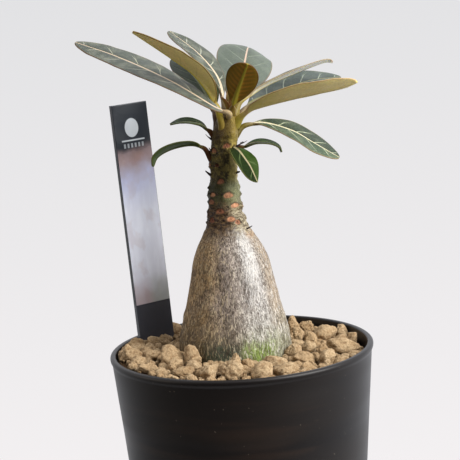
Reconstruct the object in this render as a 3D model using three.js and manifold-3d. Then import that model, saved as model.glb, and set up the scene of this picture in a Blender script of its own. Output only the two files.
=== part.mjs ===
// Potted adenium socotranum: a caudex plant with its leaves, stony substrate, round pot and plant label.
// Millimetres, +Z up. The origin is the centre of the pot's flat base and the plant's front faces -Y.

import * as THREE from 'three';
import { mergeVertices } from 'three/addons/utils/BufferGeometryUtils.js';
import Module from 'manifold-3d';

const wasm = await Module();
wasm.setup();

// Space left between pieces that touch
const GAP = 0.3;

// Pot: a tapered round pot with a rounded lip and four small drain holes
const POT_HEIGHT = 80;
const RIM_RADIUS = 45;
const BASE_RADIUS = 37.7;
const WALL_TOP_RADIUS = 44.35;
const WALL = 1.5;
const LIP_HEIGHT = 2.6;
const FLOOR = 2;
const DRAIN_RADIUS = 1.75;
const DRAIN_CIRCLE = 22;
const DRAINS = 4;
const POT_SIDES = 48;

// Substrate: a bed of soil, higher on the left, with coarse stones lying half sunk in it
const BED_TOP = 77.2;
const BED_SLOPE = -0.045;
const STONE_DEPTH = 0.8;
const STONE_REACH = 42.2;
const LUMPS = 3.2;
const LUMP_HEIGHT = 0.16;

// Stones of the front and the right: x, y, height of the top, half length along x, half depth, tilt
const FRONT_STONES = [
  [-37, 12, 82.2, 3.8, 3.0, 4], [-30.5, 11.5, 82.4, 2.6, 2.6, 0], [-27, 15.5, 82.0, 1.8, 1.8, 0],
  [-23.5, 28, 83.0, 2.6, 2.8, 0], [-37.6, -6, 83.8, 3.5, 3.6, 8], [-31, -4.5, 82.2, 3.4, 3.0, 0],
  [-23.5, -14.5, 84.5, 4.4, 3.8, 6], [-16.6, -16, 84.5, 3.2, 2.8, -10], [-30.4, -22.5, 81.6, 4.2, 2.6, 22],
  [-19, -30.5, 81.7, 3.4, 2.8, 0], [-11.2, -33.5, 83.1, 3.8, 3.4, -8], [-9.2, -21.5, 80.8, 1.9, 1.6, 0],
  [-3.6, -34, 83.6, 3.6, 3.2, 12], [-2.2, -25.2, 84.2, 2.0, 2.4, 0], [1.6, -25.2, 81.9, 1.9, 2.0, 0],
  [5.4, -33.5, 82.2, 4.4, 3.2, -6], [10.2, -23, 82.0, 4.3, 2.4, 6], [13.3, -32, 81.3, 4.3, 2.8, -16],
  [17.6, -10.5, 82.9, 3.0, 2.8, 0], [22.8, -4, 81.3, 3.1, 3.0, 0], [20.2, -17, 80.9, 3.6, 3.0, 0],
  [20.6, -27, 79.8, 2.4, 2.4, 0], [28, -17.5, 81.2, 3.1, 3.2, 0], [27.4, -8.5, 80.6, 2.2, 2.2, 0],
  [34.4, -3, 80.8, 5.8, 3.8, 4], [32.8, -18, 78.6, 2.6, 2.4, 0], [29.4, 14, 81.8, 4.3, 3.6, 0],
  [23.9, 24, 81.8, 2.6, 2.6, 0], [36, 20, 80.1, 2.6, 2.6, 0], [38.6, 8, 80.7, 2.0, 2.4, 0],
  [34.6, 8, 79.6, 2.6, 2.4, 0], [18.9, 24, 83.2, 2.3, 2.4, 0], [20, 11, 82.2, 2.0, 2.4, 0],
  [24, 9, 80.8, 2.2, 2.4, 0],
];

// The other stones are scattered by a seeded rule
const STONE_COUNT = 104;
const STONE_SIZE = [1.7, 3.8];
const STONE_RISE = [0.85, 1.3];
const STONE_RING = 19;
const STONE_SPACING = 0.86;
const STONE_TRIES = 6000;
const STONE_SEED = 20;

// Caudex and stem: height against radius, from the tip of the taproot to the growing point
const TRUNK_PROFILE = [
  [38, 1.6], [46, 4.6], [56, 10.2], [65, 15.4], [73, 18.4], [79, 19.0], [84, 18.7],
  [90, 17.2], [96, 15.6], [104, 13.8], [110, 12.5], [115, 10.7], [119, 8.6], [123, 6.5],
  [127, 5.6], [133, 5.2], [138, 4.6], [146, 4.4], [153, 4.2], [157, 3.8], [159.5, 2.8], [160.8, 1.2],
];
const TRUNK_TOP = 161.2;
const TRUNK_BOTTOM = 37;

// The stem's centre line leans a little: height against sideways place
const TRUNK_AXIS = [
  [37, -1.8], [80, -1.8], [106, -1.5], [120, -2.1], [131, -2.5], [141, -2.0], [149, -1.4], [155, -0.4],
  [161.2, 1.2],
];
const TRUNK_SIDES = 40;
const TRUNK_RINGS = [
  ...steps(38, 74, 9), ...steps(77.5, 117.5, 2.5), ...steps(119.5, 158.5, 1.5), 159.6, 160.5,
];

// Bark of the caudex: upright ridges that fade out towards the neck
const RIDGES = 10;
const RIDGE_HEIGHT = 0.5;
const RIDGE_TWIST = 0.035;

// Knots on the caudex: angle from +X in degrees, height, rise, reach
const KNOTS = [
  [-8, 98.5, 0.7, 2.6], [-14, 91, 0.8, 3.0], [176, 92, 0.5, 2.4], [-62, 104, 0.5, 3.2],
  [-118, 96, 0.5, 3.4], [118, 101, 0.6, 3.0], [52, 94, 0.6, 3.2],
];

// Leaf scars wind up the stem, one each golden angle, closer together towards the neck
const SCAR_COUNT = 24;
const SCAR_START = -81;
const GOLDEN_ANGLE = 137.5;
const SCAR_NECK = 122;
const SCAR_SPAN = 27;
const SCAR_FADE = 8;
const SCAR_RISE = 0.5;
const SCAR_WIDTH = 1.8;
const SCAR_HEIGHT = 1.25;

// Dry stubs of old shoots and thorn-like stipules: root, tip, radius at the root
const STUBS = [
  [[-5.0, -1.0, 137.6], [-8.1, -1.6, 140.2], 0.55],
  [[-5.2, -0.4, 149.2], [-7.6, -0.8, 151.9], 0.45],
  [[-4.6, -1.6, 145.6], [-6.6, -2.4, 148.6], 0.6],
  [[1.4, -1.0, 139.2], [3.7, -1.6, 139.9], 0.6],
  [[1.6, -1.6, 147.4], [5.2, -3.4, 150.6], 0.5],
  [[1.2, -2.2, 120.8], [5.4, -3.0, 123.4], 0.7],
];

// Leaves. rib: the midrib from inside the stem to the tip; width: of the blade at its widest;
// petiole: the share of the rib that is stalk; roll: turn about the rib in degrees, at the stalk and
// at the tip; shape: how full the blade is towards its base and its tip; cup: lift of the margins
const LEAVES = {
  leaf_left_long: {
    rib: [[0.5, -1.5, 158], [0.8, -6, 160.2], [-4, -11.5, 163.4], [-17.5, -8.5, 172.4],
      [-34.5, 2.5, 180.6], [-49.5, 11, 186.2]],
    width: 13.6, petiole: 0.14, roll: [-4, -27], shape: [0.55, 0.6], cup: 0, stalk: 0.95,
  },
  leaf_left_rising: {
    rib: [[-1.5, -2, 152.5], [-2, -4, 157.8], [-3.5, -5.6, 165.2], [-8.8, -11, 174],
      [-15.4, -15, 179.9], [-28, -18, 189.5]],
    width: 11.5, petiole: 0.24, roll: [4, -6], shape: [0.8, 0.8], cup: 0.35, stalk: 1.1,
  },
  leaf_back_left_high: {
    rib: [[-0.5, 1.5, 158], [-0.5, 5, 164.5], [-2.2, 10, 171.8], [-8.4, 18, 179.7], [-17.6, 26, 187.3]],
    width: 13.5, petiole: 0.15, roll: [12, 16], shape: [1.2, 0.6], cup: 0.05, stalk: 1.05,
  },
  leaf_back_left_low: {
    rib: [[-3, 1, 153], [-4, 5.5, 160], [-7.5, 16, 167.5], [-13, 28, 174.5], [-16.5, 34, 177.5]],
    width: 14, petiole: 0.2, roll: [0, 0], shape: [0.9, 0.6], cup: 0.2, stalk: 1.1,
  },
  leaf_back: {
    rib: [[1.5, 2, 157.5], [2.5, 9, 164], [6.7, 22, 172], [9.2, 36, 178.8], [10.2, 46, 178.7]],
    width: 20.3, petiole: 0.12, roll: [20, 23], shape: [1.2, 0.62], cup: -0.2, stalk: 1.05,
  },
  leaf_young: {
    rib: [[1.5, -1, 158.5], [2.9, -4, 163.5], [5.1, -8, 169.5], [7.5, -12, 175.2], [8, -13, 176.5]],
    width: 10.6, petiole: 0.22, roll: [-38, -38], shape: [0.95, 0.55], cup: 0.1, stalk: 1,
  },
  leaf_right_thin: {
    rib: [[2.5, 0.5, 158.5], [5.5, 3, 163.5], [13, 8, 167.8], [23.5, 13, 171], [29, 15, 172.6], [35, 17, 174],
      [38, 18, 173.5]],
    width: 8.6, petiole: 0.2, roll: [-13, -10], shape: [0.9, 0.7], cup: 0.2, stalk: 0.95,
  },
  leaf_right_back: {
    rib: [[3, 1.5, 156.5], [8, 5.5, 162], [16, 13, 164.5], [29, 20, 167.3], [41, 26, 167.6]],
    width: 15, petiole: 0.15, roll: [18, 22], shape: [1, 0.7], cup: 0.1, stalk: 1,
  },
  leaf_right_front: {
    rib: [[2.5, -0.5, 155.5], [7, -4.5, 160.8], [12, -7.5, 162.7], [23.5, -13, 165.1], [35.5, -17, 167.1],
      [42.5, -19, 169]],
    width: 16, petiole: 0.15, roll: [-18, -16], shape: [0.95, 0.55], cup: 0.2, stalk: 1.15,
  },
  leaf_right_low: {
    rib: [[2, 0.5, 151.5], [6, 2, 155], [12.5, 3.2, 155.5], [22, 5.2, 152], [28.7, 6, 147.6],
      [37.6, 6, 141.6]],
    width: 14, petiole: 0.2, roll: [23, 28], shape: [1, 0.65], cup: 0.02, stalk: 0.9,
  },
  leaf_left_small: {
    rib: [[-4, 0, 151.5], [-7.5, 0, 156], [-11, 0, 157.5], [-15, 0, 158], [-19, 0, 157.5]],
    width: 9.5, petiole: 0.25, roll: [-6, -6], shape: [0.8, 0.7], cup: 0.1, stalk: 0.7,
  },
  leaf_left_arch: {
    rib: [[-5.5, 0, 144], [-8.5, 0, 149], [-12.5, 0, 150.5], [-19, 0, 149.5], [-24, 0, 147], [-26, 0, 143.5]],
    width: 12, petiole: 0.25, roll: [14, 6], shape: [0.9, 0.7], cup: 0.2, stalk: 0.8,
  },
  leaf_right_small: {
    rib: [[1.5, 0, 147], [5.5, 0, 148.5], [9.5, 0, 149.5], [14, 0, 149], [17, 0, 147.5], [18, 0, 145.5]],
    width: 8.5, petiole: 0.22, roll: [8, 2], shape: [0.8, 0.7], cup: 0.1, stalk: 0.65,
  },
  leaf_front_small: {
    rib: [[1, -2, 149], [3.2, -6.5, 148], [5.2, -9, 145.3], [7, -9.3, 142.2], [8.9, -8.3, 136.9]],
    width: 10.5, petiole: 0.12, roll: [2, 0], shape: [0.8, 0.85], cup: 0, stalk: 0.7,
  },
};
const BLADE = 0.7;
const TIP_HALF_WIDTH = 0.35;
const CUP_POWER = 1.6;
const LEAF_RINGS = 13;
const LEAF_ACROSS = [1, 0.5, 0, -0.5, -1];

// Growing point: the smallest leaves, folded upright round the middle of the stem's top
const SHOOT_TIP = [
  [[1.2, 0, 160.5], [-1.2, -1.6, 165.5], 0.9], [[1.2, 0, 160.5], [3, -1.4, 166.5], 0.9],
  [[1.2, 0, 160.5], [1.2, 1.2, 168], 1],
];

// Plant label: a flat strip with a pointed foot, pushed into the substrate
const LABEL_WIDTH = 13.5;
const LABEL_THICKNESS = 2;
const LABEL_ABOVE = 81.7;
const LABEL_BELOW = 28;
const LABEL_POINT = 11;
const LABEL_PLACE = [-30.1, 20, 82];
const LABEL_YAW = 30;
const LABEL_LEAN = -2.3;
const LABEL_TILT = -1.2;

function steps(first, last, step) {
  return Array.from({ length: Math.floor((last - first) / step + 1.001) }, (_, i) => first + i * step);
}

// mulberry32: the same draws on every run
function seeded(seed) {
  let state = seed;
  return () => {
    state = (state + 0x6d2b79f5) | 0;
    let t = Math.imul(state ^ (state >>> 15), state | 1);
    t ^= t + Math.imul(t ^ (t >>> 7), t | 61);
    return ((t ^ (t >>> 14)) >>> 0) / 4294967296;
  };
}

const lerp = THREE.MathUtils.lerp;
const smoothstep = THREE.MathUtils.smoothstep;
const radians = THREE.MathUtils.degToRad;

// Smooth curve through hand-set [position, value] pairs
function profile(pairs) {
  const slope = (i) => {
    const before = pairs[Math.max(i - 1, 0)];
    const after = pairs[Math.min(i + 1, pairs.length - 1)];
    return (after[1] - before[1]) / (after[0] - before[0]);
  };
  return (x) => {
    const next = pairs.findIndex((pair) => pair[0] > x);
    if (next === 0) return pairs[0][1];
    if (next < 0) return pairs[pairs.length - 1][1];
    const [x0, y0] = pairs[next - 1];
    const [x1, y1] = pairs[next];
    const span = x1 - x0;
    const t = (x - x0) / span;
    const bend = t * (1 - t) * span * ((1 - t) * slope(next - 1) - t * slope(next));
    return y0 + (y1 - y0) * t * t * (3 - 2 * t) + bend;
  };
}

// Closed skin over rings of points that run anticlockwise seen from the end they lead to.
// mirrored(j) picks the other diagonal for the strip that starts at point j
function loft(start, rings, end, mirrored = () => false) {
  const points = [start, ...rings.flat(), end];
  const sides = rings[0].length;
  const last = points.length - 1;
  const at = (ring, j) => 1 + ring * sides + (j % sides);
  const index = [];
  for (let j = 0; j < sides; j += 1) {
    index.push(0, at(0, j + 1), at(0, j));
    index.push(last, at(rings.length - 1, j), at(rings.length - 1, j + 1));
    for (let ring = 0; ring < rings.length - 1; ring += 1) {
      const [a, b] = [at(ring, j), at(ring, j + 1)];
      const [c, d] = [at(ring + 1, j + 1), at(ring + 1, j)];
      if (mirrored(j)) index.push(a, b, d, b, c, d);
      else index.push(a, b, c, a, c, d);
    }
  }
  const geometry = new THREE.BufferGeometry();
  geometry.setAttribute('position', new THREE.Float32BufferAttribute(points.flatMap((p) => p.toArray()), 3));
  geometry.setIndex(index);
  return geometry;
}

function toSolid(geometry) {
  const bare = geometry.clone();
  bare.deleteAttribute('normal');
  bare.deleteAttribute('uv');
  const merged = mergeVertices(bare, 1e-4);
  const vertProperties = Float32Array.from(merged.getAttribute('position').array);
  const triVerts = Uint32Array.from(merged.getIndex().array);
  return new wasm.Manifold(new wasm.Mesh({ numProp: 3, vertProperties, triVerts }));
}

function toGeometry(solid) {
  const mesh = solid.getMesh();
  const geometry = new THREE.BufferGeometry();
  geometry.setAttribute('position', new THREE.BufferAttribute(Float32Array.from(mesh.vertProperties), 3));
  geometry.setIndex(Array.from(mesh.triVerts));
  geometry.computeVertexNormals();
  return geometry;
}

// Solid of revolution about Z from [radius, height] points listed up the outside and back to the axis
function revolved(points) {
  const turned = new THREE.LatheGeometry(points.map(([r, z]) => new THREE.Vector2(r, z)), POT_SIDES);
  return turned.rotateX(Math.PI / 2);
}

const trunkRadius = profile(TRUNK_PROFILE);
const trunkAxis = profile(TRUNK_AXIS);

// Rise of the bark over the smooth trunk, at an angle in radians and a height
function barkRise(angle, z) {
  const body = smoothstep(z, 74, 84) * (1 - smoothstep(z, 110, 120));
  const wander = RIDGE_TWIST * z + 0.35 * Math.sin(0.09 * z + 2 * angle);
  const ridge = Math.abs(Math.sin(RIDGES * angle * 0.5 + wander));
  const lobes = 0.35 * Math.sin(2 * angle + 0.7) + 0.3 * Math.sin(3 * angle + 0.05 * z);
  let rise = body * (lobes + RIDGE_HEIGHT * (ridge - 0.6));
  for (const [degrees, height, knotRise, reach] of KNOTS) {
    rise += knotRise * hump(angle, radians(degrees), z, height, reach, reach);
  }
  for (let n = 0; n < SCAR_COUNT; n += 1) {
    const scarAngle = radians(SCAR_START + GOLDEN_ANGLE * n);
    const scarHeight = SCAR_NECK + SCAR_SPAN * Math.exp(-n / SCAR_FADE);
    rise += SCAR_RISE * hump(angle, scarAngle, z, scarHeight, SCAR_WIDTH, SCAR_HEIGHT);
  }
  return rise;
}

// Smooth hump of height 1 on the trunk, centred at an angle and a height
function hump(angle, centreAngle, z, centreZ, reachAcross, reachUp) {
  const up = (z - centreZ) / reachUp;
  if (Math.abs(up) > 2) return 0;
  const turn = Math.atan2(Math.sin(angle - centreAngle), Math.cos(angle - centreAngle));
  const across = (turn * trunkRadius(centreZ)) / reachAcross;
  return Math.exp(-1.4 * (across * across + up * up));
}

function trunk(clearance) {
  const rings = TRUNK_RINGS.map((z) =>
    Array.from({ length: TRUNK_SIDES }, (_, j) => {
      const angle = (j / TRUNK_SIDES) * 2 * Math.PI;
      const fade = smoothstep(z, 74, 79) * (1 - smoothstep(z, 157, 160));
      const r = trunkRadius(z) + fade * barkRise(angle, z) + clearance;
      const domeLift = clearance * smoothstep(z, 154, 159);
      return new THREE.Vector3(trunkAxis(z) + r * Math.cos(angle), r * Math.sin(angle), z + domeLift);
    }));
  const bottom = new THREE.Vector3(trunkAxis(TRUNK_BOTTOM), 0, TRUNK_BOTTOM - clearance);
  const top = new THREE.Vector3(trunkAxis(TRUNK_TOP), 0, TRUNK_TOP + clearance);
  return loft(bottom, rings, top);
}

// Tapered spike between two points
function spike(root, tip, radius, sides = 6) {
  const from = new THREE.Vector3(...root);
  const along = new THREE.Vector3(...tip).sub(from);
  const cone = new THREE.CylinderGeometry(radius * 0.3, radius, along.length(), sides);
  cone.translate(0, along.length() / 2, 0);
  const upright = new THREE.Vector3(0, 1, 0);
  cone.applyQuaternion(new THREE.Quaternion().setFromUnitVectors(upright, along.normalize()));
  return cone.translate(...from.toArray());
}

function caudexStem() {
  const stubs = STUBS.map(([root, tip, radius]) => toSolid(spike(root, tip, radius)));
  return stubs.reduce((solid, stub) => solid.add(stub), toSolid(trunk(0)));
}

// Half of the blade's width at a share s of the rib
function halfWidth(leaf, s) {
  const [base, tip] = leaf.shape;
  const u = THREE.MathUtils.clamp((s - leaf.petiole) / (1 - leaf.petiole), 0, 1);
  const widest = base / (base + tip);
  return (leaf.width / 2) * (u / widest) ** base * ((1 - u) / (1 - widest)) ** tip;
}

function leafBlade(leaf) {
  const ribPoints = leaf.rib.map((p) => new THREE.Vector3(...p));
  const rib = new THREE.CatmullRomCurve3(ribPoints, false, 'catmullrom', 0.5);
  const [base, tip] = [rib.getPoint(0), rib.getPoint(1)];
  const sideways = new THREE.Vector3(base.y - tip.y, tip.x - base.x, 0).normalize();
  const rings = Array.from({ length: LEAF_RINGS }, (_, i) => {
    const s = 0.985 * (i / (LEAF_RINGS - 1)) ** 0.9;
    const centre = rib.getPointAt(s);
    const along = rib.getTangentAt(s);
    const flat = sideways.clone().addScaledVector(along, -sideways.dot(along)).normalize();
    const up = new THREE.Vector3().crossVectors(along, flat);
    const roll = radians(lerp(leaf.roll[0], leaf.roll[1], s));
    const left = flat.clone().multiplyScalar(Math.cos(roll)).addScaledVector(up, Math.sin(roll));
    up.multiplyScalar(Math.cos(roll)).addScaledVector(flat, -Math.sin(roll));
    const half = Math.max(halfWidth(leaf, s), TIP_HALF_WIDTH);
    const flattened = smoothstep(s, leaf.petiole - 0.08, leaf.petiole + 0.05);
    const cord = leaf.stalk * (1 - 0.75 * s);
    const section = (x, under) => {
      const arc = (0.5 - 0.4 * x) * Math.PI * (under ? -1 : 1);
      const keel = under ? BLADE + cord * (1 - Math.abs(x)) ** 2 : 0;
      const lift = leaf.cup * half * Math.abs(x) ** CUP_POWER - keel;
      const across = lerp(leaf.stalk * Math.cos(arc), half * x, flattened);
      const height = lerp(leaf.stalk * Math.sin(arc), lift, flattened);
      return centre.clone().addScaledVector(left, across).addScaledVector(up, height);
    };
    const over = LEAF_ACROSS.map((x) => section(x, false));
    const under = LEAF_ACROSS.map((x) => section(x, true)).reverse();
    return [...over, ...under];
  });
  const points = LEAF_ACROSS.length;
  return loft(rib.getPointAt(0), rings, rib.getPointAt(1), (j) => j >= points);
}

// Rim, wall and floor of the pot, from the middle of the base round to the middle of the floor
function potProfile() {
  const wallFoot = BASE_RADIUS - WALL;
  const lipFoot = POT_HEIGHT - LIP_HEIGHT;
  const lipInside = RIM_RADIUS - 2;
  return [
    [0, 0], [BASE_RADIUS - 1.2, 0], [BASE_RADIUS - 0.3, 0.4], [BASE_RADIUS + 0.1, 1.4],
    [WALL_TOP_RADIUS, lipFoot - 0.4], [RIM_RADIUS - 0.25, lipFoot + 0.3], [RIM_RADIUS, lipFoot + 1.1],
    [RIM_RADIUS - 0.25, POT_HEIGHT - 0.5], [RIM_RADIUS - 0.9, POT_HEIGHT],
    [lipInside + 0.5, POT_HEIGHT - 0.1],
    [lipInside, POT_HEIGHT - 0.7], [WALL_TOP_RADIUS - WALL, lipFoot - 1], [wallFoot + 0.1, FLOOR + 1],
    [wallFoot - 0.9, FLOOR], [0, FLOOR],
  ];
}

function pot() {
  let solid = toSolid(revolved(potProfile()));
  for (let i = 0; i < DRAINS; i += 1) {
    const angle = ((i + 0.5) / DRAINS) * 2 * Math.PI;
    const drain = new THREE.CylinderGeometry(DRAIN_RADIUS, DRAIN_RADIUS, 3 * FLOOR, 12).rotateX(Math.PI / 2);
    drain.translate(DRAIN_CIRCLE * Math.cos(angle), DRAIN_CIRCLE * Math.sin(angle), FLOOR / 2);
    solid = solid.subtract(toSolid(drain));
  }
  return solid;
}

// Flat strip of the label in its own frame: x across, z along from the soil's surface, y through it
function labelStrip(margin) {
  const half = LABEL_WIDTH / 2 + margin;
  const shoulder = LABEL_POINT - LABEL_BELOW;
  const outline = new THREE.Shape([
    new THREE.Vector2(-half, LABEL_ABOVE + margin), new THREE.Vector2(-half, shoulder - margin),
    new THREE.Vector2(-1 - margin, -LABEL_BELOW - margin),
    new THREE.Vector2(1 + margin, -LABEL_BELOW - margin),
    new THREE.Vector2(half, shoulder - margin), new THREE.Vector2(half, LABEL_ABOVE + margin),
  ]);
  const depth = LABEL_THICKNESS + 2 * margin;
  const strip = new THREE.ExtrudeGeometry(outline, { depth, bevelEnabled: false });
  return strip.translate(0, 0, -depth / 2).rotateX(Math.PI / 2);
}

const labelPlace = new THREE.Matrix4().makeRotationFromEuler(
  new THREE.Euler(radians(LABEL_TILT), radians(LABEL_LEAN), radians(LABEL_YAW), 'ZYX'),
).setPosition(...LABEL_PLACE);

// True where a stone of this size would stand on the label's line
function meetsLabel(x, y, size) {
  const local = new THREE.Vector3(x, y, LABEL_PLACE[2]).applyMatrix4(labelPlace.clone().invert());
  return Math.abs(local.x) < LABEL_WIDTH / 2 + size && Math.abs(local.y) < LABEL_THICKNESS / 2 + 0.7 * size;
}

const bedHeight = (x) => BED_TOP + BED_SLOPE * x;

// All stones: those set by hand, then darts thrown on the ring of bare soil and kept when clear of the others
function stonePlaces(random) {
  const places = FRONT_STONES.map(([x, y, top, along, across, tilt]) => ({
    x, y, top, along, across, tilt: radians(tilt), turn: 0, size: (along + across) / 2,
  }));
  for (let attempt = 0; attempt < STONE_TRIES && places.length < STONE_COUNT; attempt += 1) {
    const size = lerp(...STONE_SIZE, random());
    const radius = Math.sqrt(lerp(STONE_RING ** 2, (STONE_REACH - size) ** 2, random()));
    const angle = 2 * Math.PI * random();
    const rise = lerp(...STONE_RISE, random());
    const slimness = lerp(0.75, 1, random());
    const [x, y] = [radius * Math.cos(angle), radius * Math.sin(angle)];
    const clear = places.every((other) => (
      Math.hypot(other.x - x, other.y - y) > STONE_SPACING * (other.size + size)
    ));
    if (!clear || meetsLabel(x, y, size)) continue;
    const top = bedHeight(x) + rise * size;
    places.push({ x, y, top, along: size, across: size * slimness, tilt: 0, turn: angle, size });
  }
  return places;
}

// Lumpy stone, sunk a little in the bed and pressed flat where it meets the pot
function stone(place, random) {
  const lumps = [random(), random(), random()].map((draw) => 2 * Math.PI * draw);
  const foot = bedHeight(place.x) - STONE_DEPTH;
  const halfHeight = (place.top - foot) / 2;
  const shape = new THREE.IcosahedronGeometry(1, 0);
  shape.deleteAttribute('normal');
  shape.deleteAttribute('uv');
  const points = shape.getAttribute('position');
  const turn = new THREE.Euler(0, place.tilt, place.turn, 'ZYX');
  for (let i = 0; i < points.count; i += 1) {
    const point = new THREE.Vector3().fromBufferAttribute(points, i);
    const waves = point.toArray().map((d, axis) => Math.sin(LUMPS * d + lumps[axis]));
    point.multiplyScalar(1 + (LUMP_HEIGHT * (waves[0] + waves[1] + waves[2])) / 3);
    point.multiply(new THREE.Vector3(place.along, place.across, halfHeight)).applyEuler(turn);
    point.add(new THREE.Vector3(place.x, place.y, foot + halfHeight));
    const inward = Math.min(1, STONE_REACH / Math.hypot(point.x, point.y));
    points.setXYZ(i, point.x * inward, point.y * inward, point.z);
  }
  return shape;
}

function substrate() {
  const wallFoot = BASE_RADIUS - WALL - GAP;
  const wallTop = WALL_TOP_RADIUS - WALL - GAP;
  const wallHeight = POT_HEIGHT - LIP_HEIGHT - 1;
  const low = FLOOR + GAP;
  const lowestEdge = BED_TOP - 0.6 + BED_SLOPE * RIM_RADIUS;
  const bedEdge = wallFoot + ((wallTop - wallFoot) * (lowestEdge - FLOOR - 1)) / (wallHeight - FLOOR - 1);
  const bed = revolved([
    [0, low], [wallFoot - 1, low], [wallFoot, FLOOR + 1.2], [bedEdge, BED_TOP - 0.6],
    [bedEdge - 0.6, BED_TOP], [0, BED_TOP],
  ]);
  const points = bed.getAttribute('position');
  for (let i = 0; i < points.count; i += 1) {
    if (points.getZ(i) > BED_TOP / 2) points.setZ(i, points.getZ(i) + BED_SLOPE * points.getX(i));
  }
  const random = seeded(STONE_SEED);
  const stones = stonePlaces(random).map((place) => toSolid(stone(place, random)));
  const slot = toSolid(labelStrip(GAP).applyMatrix4(labelPlace));
  const whole = wasm.Manifold.union([toSolid(bed), ...stones]);
  return whole.subtract(toSolid(trunk(GAP))).subtract(slot);
}

function shootTip() {
  const blades = SHOOT_TIP.map(([root, tip, radius]) => toSolid(spike(root, tip, radius)));
  return wasm.Manifold.union(blades);
}

const COLOURS = {
  pot: { color: 0x1c1918, roughness: 0.32, metalness: 0 },
  substrate: { color: 0xb08d63, roughness: 0.95, metalness: 0 },
  caudex_stem: { color: 0x85775f, roughness: 0.8, metalness: 0 },
  leaf: { color: 0x5f6f4e, roughness: 0.5, metalness: 0 },
  shoot_tip: { color: 0x5c3a1e, roughness: 0.6, metalness: 0 },
  plant_label: { color: 0x15171c, roughness: 0.12, metalness: 0 },
};

const object = new THREE.Group();

function addPiece(name, geometry, finish) {
  const piece = new THREE.Mesh(geometry, new THREE.MeshStandardMaterial(finish));
  piece.name = name;
  object.add(piece);
  return piece;
}

const stemClearance = toSolid(trunk(GAP));
addPiece('pot', toGeometry(pot()), COLOURS.pot);
addPiece('substrate', toGeometry(substrate()), COLOURS.substrate);
addPiece('caudex_stem', toGeometry(caudexStem()), COLOURS.caudex_stem);
for (const [name, leaf] of Object.entries(LEAVES)) {
  addPiece(name, toGeometry(toSolid(leafBlade(leaf)).subtract(stemClearance)), COLOURS.leaf);
}
addPiece('shoot_tip', toGeometry(shootTip().subtract(stemClearance)), COLOURS.shoot_tip);
const label = addPiece('plant_label', labelStrip(0), COLOURS.plant_label);
label.applyMatrix4(labelPlace);

export default object;
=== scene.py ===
# Looks of the potted adenium socotranum.
# Sizes are in millimetres until a mesh is made, and those of the floor and the lamps in metres.
# +Z is up and the plant's front faces -Y.

import math
from functools import partialmethod

import bmesh
import bpy
import numpy as np
from mathutils import Matrix, Vector


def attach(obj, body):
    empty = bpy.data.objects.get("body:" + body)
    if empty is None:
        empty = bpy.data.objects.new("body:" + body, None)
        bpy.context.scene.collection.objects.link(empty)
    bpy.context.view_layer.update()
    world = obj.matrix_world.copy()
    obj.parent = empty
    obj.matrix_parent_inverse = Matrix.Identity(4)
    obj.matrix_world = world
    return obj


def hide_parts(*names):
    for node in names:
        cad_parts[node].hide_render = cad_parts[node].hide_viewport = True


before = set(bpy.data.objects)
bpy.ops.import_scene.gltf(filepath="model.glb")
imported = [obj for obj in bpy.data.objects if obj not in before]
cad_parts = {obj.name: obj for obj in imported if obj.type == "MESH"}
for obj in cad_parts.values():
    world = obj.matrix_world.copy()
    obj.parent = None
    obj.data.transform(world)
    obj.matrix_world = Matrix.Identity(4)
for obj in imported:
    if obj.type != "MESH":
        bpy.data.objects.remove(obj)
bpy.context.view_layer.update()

MM = 0.001

# Pot
POT_HEIGHT = 80
RIM_RADIUS = 45
BASE_RADIUS = 37.7
WALL_TOP_RADIUS = 44.35
WALL = 1.5
LIP_HEIGHT = 2.6
FLOOR = 2
DRAIN_RADIUS = 1.75
DRAIN_CIRCLE = 22
DRAINS = 4
DRAIN_SIDES = 24
POT_SIDES = 192
POT_WAVE = 0.05
POT_WAVE_SPAN = [2, 12, 68, 77]
RIM_ROUND = 0.9
INNER_ROUND = 0.6

# Substrate: a bed of soil, higher on the left, with coarse stones lying half sunk in it
BED_TOP = 77.2
BED_SLOPE = -0.045
STONE_DEPTH = 0.8
STONE_REACH = 42.2
LUMPS = 3.2
LUMP_HEIGHT = 0.16
STONE_FINENESS = 4
STONE_FACETS = 14
STONE_SHAPES = 3.7
FACET_DEPTH = [0.68, 0.98]
FACET_SHARPNESS = 30

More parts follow.
